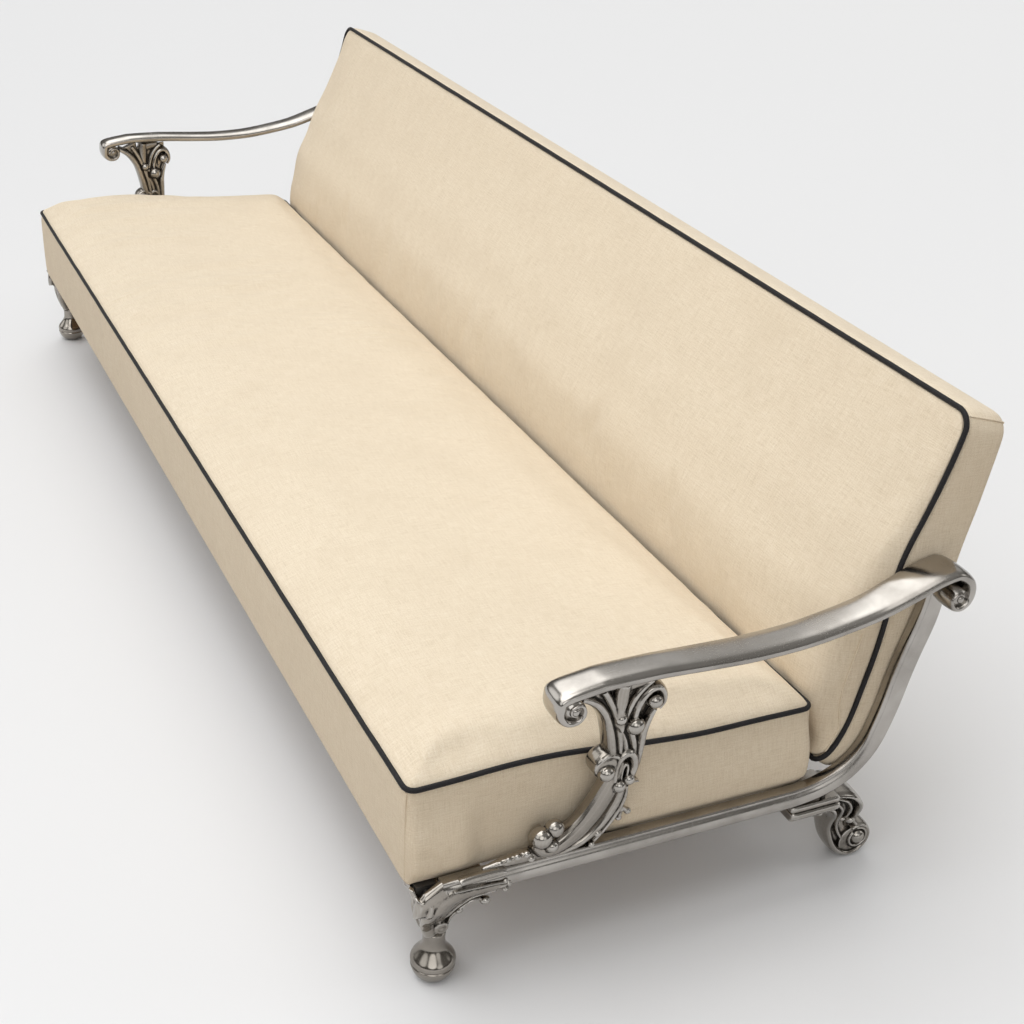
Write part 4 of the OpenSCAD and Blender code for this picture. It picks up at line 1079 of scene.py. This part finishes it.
def buildFoot():
    look = footLook
    bm = bmesh.new()
    spots = [bm.verts.new(place(look["x"] + look["radius"] * r, look["y"], look["tall"] * z)) for r, z in footProfile]
    edges = [bm.edges.new(pair) for pair in zip(spots, spots[1:])]
    bmesh.ops.spin(bm, geom=spots + edges, cent=place(look["x"], look["y"], 0), axis=(0, 0, 1),
                   angle=2 * math.pi, steps=64, use_merge=True)
    bmesh.ops.remove_doubles(bm, verts=bm.verts, dist=0.00002)
    right = newObject("ballFootRight", bm, footNickel)
    subdivided(right)
    settlePair(right, "ballFoot", "ball_foot")


buildFoot()


# Castings: overlapping ribs, scrolls and beads made one skin, then rubbed smooth
def castPiece(name, bm, look, node):
    piece = newObject(name + "Right", bm, castNickel)
    remesh = piece.modifiers.new("skin", "REMESH")
    remesh.mode = "VOXEL"
    remesh.voxel_size = look["voxel"] / 1000
    remesh.use_smooth_shade = True
    smooth = piece.modifiers.new("rub", "SMOOTH")
    smooth.factor = 0.5
    smooth.iterations = look["rubs"]
    bakeModifiers(piece)
    piece.data.name = name + "Right"
    markHollows(piece.data)
    settlePair(piece, name, node)
    print(name, len(piece.data.polygons), "faces")


# How hollow each place is: neighbours above the surface make a hollow, below it a crest
def markHollows(mesh):
    count = len(mesh.vertices)
    spots = np.empty(count * 3)
    mesh.vertices.foreach_get("co", spots)
    spots = spots.reshape(-1, 3)
    normals = np.empty(count * 3)
    mesh.vertices.foreach_get("normal", normals)
    normals = normals.reshape(-1, 3)
    pairs = np.empty(len(mesh.edges) * 2, dtype=np.int64)
    mesh.edges.foreach_get("vertices", pairs)
    first, second = pairs.reshape(-1, 2).T
    degree = np.bincount(pairs, minlength=count).astype(float)

    def neighbourMean(values):
        total = np.bincount(first, values[second], count) + np.bincount(second, values[first], count)
        return total / np.maximum(degree, 1)
    wide = spots.copy()
    for turn in range(9):
        wide = np.stack([neighbourMean(wide[:, axis]) for axis in range(3)], axis=1)
    depth = np.einsum("ij,ij->i", wide - spots, normals)
    for turn in range(3):
        depth = 0.5 * depth + 0.5 * neighbourMean(depth)
    hollow = np.clip(0.5 + depth / 0.0014, 0, 1)
    attribute = mesh.attributes.new("hollow", "FLOAT", "POINT")
    attribute.data.foreach_set("value", hollow.astype(np.float32))


# A drum with a spiral ridge and a raised eye on both ends
def addRoll(bm, x, y, z, radius, depth, start, eye):
    addDrum(bm, x, y, z, radius, depth)
    ridge = spiralRows(y, z, radius * 0.84, radius * 0.36, start, -500, radius * 0.34, radius * 0.2)
    for side in (-1, 1):
        addStroke(bm, ridge, x + side * depth * 0.5, radius * 0.42, 1, 2.0, 10)
        addBall(bm, x + side * depth * 0.5, y, z, eye, (0.8, 1, 1))


# Ribs of the bracket: how far out a rib lies, its thickness, and rows of y, z and width
bracketLook = {"mid": 1278.3, "lean": 28.5, "low": 200.0, "tall": 293.4, "voxel": 1.0, "rubs": 2, "narrow": 1.12,
               "collarY": 272, "collarZ": 350, "collarR": 18.5, "collarDeep": 24.0}
collarDomes = ((-15, 15), (-11, 18.5), (12, 19.5))      # how far out a dome lies, and its radius
bracketRibs = (
    (0, 11, ((298, 380, 44), (297, 410, 54), (296, 438, 64), (294, 462, 76), (291, 484, 84))),
    (0, 19, ((303, 448, 26), (297, 425, 42), (295, 395, 50), (298, 365, 48), (301, 338, 38), (303, 312, 22))),
    (0, 17, ((272, 432, 26), (262, 455, 26), (252, 474, 28), (246, 488, 36))),
    (0, 32, ((284, 340, 14), (281, 362, 16), (276, 388, 16), (270, 412, 15), (262, 436, 14), (250, 456, 14),
             (236, 470, 13), (219, 480, 12))),
    (1, 27, ((294, 352, 9), (291, 375, 11), (287, 398, 12), (281, 420, 12), (273, 444, 12), (262, 466, 12),
             (251, 484, 12))),
    (3, 31, ((281, 490, 19), (280, 476, 21), (280, 458, 19), (280, 445, 15), (281, 436, 20), (283, 424, 19),
             (286, 410, 7))),
    (1, 25, ((285, 412, 6), (293, 395, 10), (299, 378, 11), (303, 358, 9))),
    (1, 27, ((290, 424, 8), (302, 404, 11), (310, 384, 12), (314, 362, 11), (315, 340, 9))),
    (0, 32, ((334, 436, 9), (328, 420, 12), (324, 400, 13), (323, 375, 13), (322, 350, 12), (319, 328, 11),
             (313, 310, 9))),
    (0, 28, ((292, 428, 8), (296, 446, 10), (303, 463, 11), (313, 477, 11), (324, 486, 10))),
    (1, 32, ((304, 424, 9), (306, 442, 12), (312, 458, 13), (322, 470, 13), (334, 472, 13), (343, 462, 12),
             (345, 448, 11), (339, 437, 9))),
    (1, 22, ((276, 478, 20), (296, 484, 20), (316, 486, 18))),
    (3, 32, ((289, 320, 10), (287, 342, 13), (292, 359, 14), (303, 366, 15), (313, 357, 14), (317, 338, 13),
             (312, 318, 10))),
    (4, 27, ((298, 322, 5), (298, 340, 6), (302, 348, 6), (306, 340, 6), (306, 324, 5))),
    (0, 25, ((314, 312, 8), (322, 307, 6), (331, 306, 3))),
    (1, 33, ((198, 246, 10), (188, 240, 14), (186, 226, 17), (197, 215, 21), (214, 216, 26), (238, 230, 30),
             (259, 252, 31), (275, 279, 30), (286, 306, 27), (292, 331, 20), (294, 350, 14), (288, 363, 11),
             (276, 369, 10), (264, 365, 9), (257, 355, 8), (257, 343, 7))),
    (0, 28, ((306, 307, 13), (303, 280, 15), (292, 253, 15), (275, 230, 15), (252, 212, 14), (225, 205, 11),
             (200, 204, 8))),
    (0, 24, ((313, 301, 8), (313, 277, 9), (304, 251, 9), (290, 228, 9), (277, 212, 9), (271, 203, 8))),
    (4, 14, ((303, 268, 7), (312, 259, 8), (320, 252, 7))),
    (5, 12, ((310, 261, 6), (311, 251, 7), (310, 243, 5))),
    (1, 20, ((206, 206, 15, 1), (180, 208, 19, 1), (156, 207, 16, 0.9), (134, 205, 12, 0.7), (108, 202, 5, 0.25))),
)
# Beads of the bracket: y, z, how far out and the radius
bracketBeads = ((306, 415, 13, 14), (331, 450, 12, 11.5), (282, 432, 13, 9), (296, 311, 15, 10.5), (310, 319, 15, 9),
                (311, 257, 7, 5.2), (323, 250, 7, 5.4), (310, 241, 7, 5), (209, 252, 7, 14), (190, 241, 8, 16.5),
                (204, 227, 15, 10), (277, 225, 12, 6), (270, 206, 12, 5), (172, 213, 5, 6.5), (158, 212, 5, 5.8),
                (145, 210, 4, 5.2), (133, 207, 3, 4.6), (178, 206, 9, 5.5))


def buildBracket():
    look = bracketLook
    bm = bmesh.new()
    mid = look["mid"]
    for out, thick, rows in bracketRibs:
        addStroke(bm, rows, mid + out, thick, 6, 2.2, narrow=look["narrow"])
    for out, radius in collarDomes:
        addBall(bm, mid + out, look["collarY"], look["collarZ"], radius, (0.45, 1, 1))
    addDrum(bm, mid + 1, look["collarY"], look["collarZ"], look["collarR"], look["collarDeep"])
    for side in (-1, 1):
        addBall(bm, mid + 3 + side * 17, 269, 345, 12.5)
    for y, z, out, radius in bracketBeads:
        addBall(bm, mid + out, y, z, radius, (1.25 if out < 4 else 1, 1, 1))
        if y > 215 and not (300 < y and z < 270):
            addBall(bm, mid - out, y, z, radius)
    for vert in bm.verts:
        up = (vert.co.z * 1000 - look["low"]) / look["tall"]
        vert.co.x += look["lean"] * up / 1000
        vert.co.z = clamp(vert.co.z, look["low"] / 1000, (look["low"] + look["tall"]) / 1000)
    castPiece("scrollBracket", bm, look, "arm_bracket")


# The knee is built with an upright outer side and then drawn in towards the ankle
legLook = {"in": 1228.0, "out": 1290.0, "low": 84.3, "top": 169.0, "voxel": 1.0, "rubs": 5,
           "coreHalf": 26.0, "shoulderX": 1278.6, "shoulderLow": 140.0,
           "roll": {"y": 59, "z": 97, "radius": 11, "depth": 62, "start": 40, "eye": 4.4}}
# Outline of the knee: height, then x of its outer and inner side or y of its front and rear
kneeSide = ((84, 1262), (100, 1263), (115, 1269), (130, 1279), (150, 1288), (168, 1291), (230, 1291))
kneeInner = ((84, 1229), (110, 1228), (140, 1226), (169, 1227))
kneeFront = ((84, 39), (100, 36), (120, 30), (140, 25), (155, 24), (169, 25), (177, 12), (188, 9))
kneeRear = ((84, 71), (100, 72), (120, 75), (135, 82), (148, 92), (158, 108), (169, 128))
kneeRibs = (
    (-8, 20, ((141, 173, 10), (127, 174, 17), (102, 177, 24), (80, 177, 29), (60, 170, 31), (45, 154, 30),
              (37, 134, 26), (37, 112, 21), (42, 94, 18), (45, 85, 18))),
    (-53, 18, ((126, 166, 12), (102, 164, 18), (78, 163, 22), (58, 158, 25), (43, 148, 26), (36, 132, 24),
               (37, 112, 20), (42, 94, 17), (45, 85, 17))),
    (-31, 56, ((130, 163, 9), (112, 162, 9), (92, 160, 10), (75, 150, 10), (64, 132, 10), (57, 114, 10),
               (54, 98, 9))),
    (-31, 52, ((116, 146, 8), (103, 152, 9), (90, 149, 9), (79, 135, 9), (73, 117, 9), (70, 100, 10),
               (66, 86, 10))),
)
# Lobes of the leaf on the front of the knee: x, z and width
kneeLeaves = (
    ((1264, 186, 10), (1268, 180, 18), (1276, 172, 25), (1279, 150, 28), (1271, 128, 24), (1262, 110, 18),
     (1255, 94, 12)),
    ((1244, 186, 22), (1244, 180, 32), (1245, 172, 36), (1246, 150, 37), (1247, 126, 30), (1248, 106, 22),
     (1248, 90, 13)),
)
kneeBeads = ((115, 146, -6, 8), (80, 132, -8, 5.5), (141, 165, -2, 5), (146, 173, -3, 4.5), (140, 181, -1, 4),
             (30, 176, -8, 4.6))
# The shoulder before the bar: y, height of its top and half its width; then the mouldings on the rail
kneeShoulder = ((11, 160, 3), (12.5, 168, 7.5), (16, 176, 9.8), (23, 184, 10.4), (34, 191, 10.6), (42, 196, 10.8),
                (49, 199.5, 10.9), (54, 200.6, 10.9))
railMouldings = ((1285.5, 14, ((72, 196, 8), (76, 196.5, 12), (104, 197.5, 13), (134, 197.5, 12), (140, 197, 8))),
                 (1288.3, 10, ((62, 185, 3.5), (90, 184, 4), (120, 182, 4), (141, 180, 4))))


def buildKnee():
    look = legLook
    bm = bmesh.new()
    rings = []
    for i in range(26):
        height = look["low"] + (look["top"] - look["low"]) * i / 25
        front, rear = lookUp(kneeFront, height, 1) + 3, lookUp(kneeRear, height, 1) - 5
        rings.append([place((look["in"] + look["out"]) / 2 + c * look["coreHalf"],
                            (front + rear) / 2 + s * (rear - front) / 2, height) for c, s in superRing(32, 3.2)])
    loftRings(bm, rings)
    for out, thick, rows in kneeRibs:
        addStroke(bm, rows, look["out"] + out, thick, 5, 2.1)

    # leaf lobes lie on the front face
    for table in kneeLeaves:
        for narrow, proud in ((1.0, 1.8), (0.3, 3.4)):
            rings = []
            for x, z, wide in smoothRows(table, 5):
                deep = 8 - 4.6 * ease((z - 164) / 14)
                y = lookUp(kneeFront, z, 1) - proud + deep
                rings.append([place(x + c * narrow / 2 * wide, y + deep * s, z) for c, s in superRing(14, 2.0)])
            loftRings(bm, rings)
    addRoll(bm, look["out"] - 31, **look["roll"])
    for y, z, out, radius in kneeBeads:
        addBall(bm, look["out"] + out, y, z, radius)

    # shoulder in front of the bar, and the moulding on the outer face of the rail
    shoulder = []
    base = look["shoulderLow"]
    for y, top, wide in kneeShoulder:
        shoulder.append([place(look["shoulderX"] + wide * c, y, (base + top) / 2 + s * (top - base) / 2)
                         for c, s in superRing(24, 2.2)])
    loftRings(bm, shoulder)
    for x, thick, rows in railMouldings:
        addStroke(bm, rows, x, thick, 5, 2.2)
    for vert in bm.verts:
        x, height = vert.co.x * 1000, vert.co.z * 1000
        inner, outer = lookUp(kneeInner, height, 1), lookUp(kneeSide, height, 1)
        share = (x - look["in"]) / (look["out"] - look["in"])
        vert.co.x = (inner + (outer - inner) * share) / 1000
        vert.co.z = max(vert.co.z, look["low"] / 1000)
    castPiece("castKnee", bm, look, "front_leg")


heelLook = {"x": 1233.3, "wide": 40.0, "capFront": 614.0, "capRear": 702.0, "railLow": 168.0, "out": 1289.5,
            "eyeY": 776.0, "eyeZ": 31.0, "spread": 0.8, "eyeR": 25.0,
            "eyeDeep": 32.0, "voxel": 1.0, "rubs": 2}
capBands = ((162.2, 11.0, 0.5), (151.6, 11.4, 3.4), (144.4, 8.0, -1.0))
capShares = ((0, 0.2), (0.02, 0.6), (0.05, 0.86), (0.1, 1), (0.5, 1), (0.94, 1), (1.0, 0.6))
heelRibs = (
    (0, 24, ((690, 152, 26), (718, 138, 40), (738, 112, 48), (742, 84, 46), (748, 56, 44), (768, 34, 44))),
    (0, 40, ((652, 148, 8), (678, 145, 10), (700, 133, 12), (713, 112, 13), (719, 88, 14), (725, 62, 14),
             (734, 38, 14), (748, 18, 13), (768, 7, 12), (788, 9, 12), (801, 21, 12), (805, 38, 11), (798, 53, 10),
             (784, 59, 9), (771, 55, 7))),
    (0, 36, ((684, 150, 8), (708, 141, 10), (724, 122, 11), (731, 100, 11), (736, 78, 11), (743, 58, 10),
             (752, 42, 8))),
    (0, 35, ((708, 152, 8), (728, 141, 10), (741, 122, 10), (747, 103, 10), (748, 86, 8))),
    (0, 40, ((688, 161, 12), (714, 159, 14), (737, 149, 14), (753, 131, 14), (761, 110, 14), (764, 90, 13),
             (770, 72, 11), (778, 62, 9))),
)
heelBeads = ((755, 84, 17, 8), (668, 144, 18, 6), (659, 141, 17, 4.4), (740, 90, 15, 5))


def buildHeel():
    look = heelLook
    bm = bmesh.new()
    for out, thick, rows in heelRibs:
        addStroke(bm, rows, look["x"] + out, thick, 6, 2.3)
    addDrum(bm, look["x"], look["eyeY"], look["eyeZ"], look["eyeR"], look["eyeDeep"])
    for side in (-1, 1):
        ridge = spiralRows(look["eyeY"] + 8, look["eyeZ"] + 4, 19, 14.5, 100, -330, 5, 4)
        addStroke(bm, ridge, look["x"] + side * 17, 5, 1, 2.0, 10)
        addBall(bm, look["x"] + side * 15, look["eyeY"] + 9, look["eyeZ"] + 5, 12.5, (0.8, 1, 1))
        for y, z, out, radius in heelBeads:
            addBall(bm, look["x"] + side * out, y, z, radius)
    inner, outer = look["x"] - look["wide"] / 2, look["out"]
    front, rear = look["capFront"], look["capRear"]
    for vert in bm.verts:
        share = look["spread"] * ease((vert.co.z * 1000 - 60) / 85)
        vert.co.x += (vert.co.x - inner / 1000) * share

    # moulded cap: three bands with rounded ends, seen as shares of their length and fullness
    for height, tall, proud in capBands:
        loftRings(bm, [barRing((inner + outer) / 2, front + (rear - front) * s, height, 0, 1,
                               (outer - inner + 2 * proud) * (0.88 + 0.12 * grow), tall * (0.55 + 0.45 * grow),
                               3.6 * grow) for s, grow in capShares])
    for vert in bm.verts:
        vert.co.z = clamp(vert.co.z, 0.0, look["railLow"] / 1000)
    castPiece("scrollHeel", bm, look, "rear_leg")


buildBracket()
buildKnee()
buildHeel()
print("castings built")


# Pieces that keep the shape of the part and only take their materials
def dress(names, material):
    for name in names:
        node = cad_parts[name]
        node.data.materials.clear()
        node.data.materials.append(material)


dress(("front_rail", "rear_rail", "centre_stretcher"), deckSteel)
dress(("deck_slats", "back_frame"), beech)
dress(("back_webbing",), jute)
dress(("back_bolts", "arm_studs", "bracket_studs", "leg_studs", "foot_studs", "rail_studs"), deckSteel)


# Camera, floor and light
cameraLook = {"place": (2.8121, -1.1025, 1.6707), "yaw": math.radians(63.31), "pitch": math.radians(28.12),
              "roll": 0.0648, "lens": 56.71}


def buildCamera():
    look = cameraLook
    yaw, pitch, roll = look["yaw"], look["pitch"], look["roll"]
    ahead = Vector((-math.sin(yaw) * math.cos(pitch), math.cos(yaw) * math.cos(pitch), -math.sin(pitch)))
    right = Vector((math.cos(yaw), math.sin(yaw), 0))
    up = right.cross(ahead)
    tiltRight = math.cos(roll) * right + math.sin(roll) * up
    tiltUp = -math.sin(roll) * right + math.cos(roll) * up
    camera = bpy.data.objects.new("photoCamera", bpy.data.cameras.new("photoCamera"))
    scene.collection.objects.link(camera)
    matrix = Matrix((tiltRight, tiltUp, -ahead)).transposed().to_4x4()
    matrix.translation = Vector(look["place"])
    camera.matrix_world = matrix
    camera.data.lens = look["lens"]
    camera.data.sensor_width = 36
    camera.data.clip_end = 200           # reaches past the floor
    scene.camera = camera


floorLook = {"near": (0.78, 0.785, 0.80, 1), "far": (0.795, 0.80, 0.812, 1), "bounce": (0.50, 0.455, 0.405, 1),
             "size": 90.0}


def buildFloor():
    bm = bmesh.new()
    bmesh.ops.create_grid(bm, x_segments=1, y_segments=1, size=floorLook["size"])
    material, tree, shader = newMaterial("paleFloor")
    far = mathNode(tree, "MULTIPLY_ADD", splitVector(tree, objectSpot(tree))[1], 0.14, 0.32, clamp=True)
    colour = rampNode(tree, far, [(0.0, floorLook["near"]), (1.0, floorLook["far"])])
    seen = addNode(tree, "ShaderNodeLightPath").outputs
    direct = plus(tree, seen["Is Camera Ray"], seen["Is Glossy Ray"], clamp=True)
    feedAll(tree, shader, {"Base Color": mixColour(tree, direct, floorLook["bounce"], colour), "Roughness": 0.95,
                           "Specular IOR Level": 0.0})
    floor = newObject("floorPlane", bm, material)


def addLamp(name, kind, spot, target, **settings):
    data = bpy.data.lights.new(name, kind)
    for key, value in settings.items():
        setattr(data, key, value)
    lamp = bpy.data.objects.new(name, data)
    scene.collection.objects.link(lamp)
    lamp.location = spot
    lamp.rotation_euler = (Vector(target) - Vector(spot)).to_track_quat("-Z", "Y").to_euler()


# A dim room with a few broad pale screens that the metal can mirror; the camera itself sees a pale backdrop
worldLook = {
    "backdrop": (0.845, 0.845, 0.855, 1),
    "sky": [(0.0, (0.095, 0.09, 0.083, 1)), (0.22, (0.145, 0.139, 0.13, 1)), (0.6, (0.27, 0.265, 0.255, 1)),
            (1.0, (0.36, 0.355, 0.345, 1))],
}
# Screens: where they hang, how near they start and are full, and how bright they are
worldScreens = (((-0.62, 0.10, 0.77), 0.905, 0.965, 2.5), ((-0.6, 0.62, 0.5), 0.90, 0.985, 0.7),
                ((-0.65, -0.64, 0.4), 0.93, 0.98, 1.3), ((0.2, -0.85, 0.5), 0.93, 0.975, 1.2),
                ((0.25, 0.9, 0.45), 0.96, 0.99, 1.4), ((0.78, -0.36, 0.52), 0.925, 0.965, 1.7),
                ((0.93, 0.2, 0.3), 0.965, 0.985, 1.1))


def buildWorld():
    world = bpy.data.worlds.new("softRoom")
    world.use_nodes = True
    tree = world.node_tree
    tree.nodes.clear()
    aimed = addNode(tree, "ShaderNodeTexCoord").outputs["Generated"]
    sky = rampNode(tree, splitVector(tree, aimed)[2], worldLook["sky"])
    for aim, low, high, level in worldScreens:
        nearness = addNode(tree, "ShaderNodeVectorMath", operation="DOT_PRODUCT")
        feedAll(tree, nearness, {0: aimed, 1: Vector(aim).normalized()})
        mask = rampNode(tree, nearness.outputs["Value"], [(low, 0.0), (high, 1.0)])
        sky = mixColour(tree, mask, sky, (level, level, level * 0.99, 1))
    seen = addNode(tree, "ShaderNodeLightPath").outputs["Is Camera Ray"]
    back = addNode(tree, "ShaderNodeBackground")
    feed(tree, back, 0, mixColour(tree, seen, sky, worldLook["backdrop"]))
    feed(tree, addNode(tree, "ShaderNodeOutputWorld"), 0, back.outputs[0])
    scene.world = world


buildCamera()
buildFloor()
buildWorld()
addLamp("softSun", "SUN", (-0.25, -1.4, 4.0), (0, 0, 0), energy=1.125, angle=math.radians(60),
        color=(1.0, 0.99, 0.975))
addLamp("keyPanel", "AREA", (1.0, -1.1, 3.1), (0.1, 0.0, 0.3), energy=14.5, shape="RECTANGLE", size=2.4, size_y=1.8,
        color=(1.0, 0.985, 0.965))
print("camera, floor and light built")
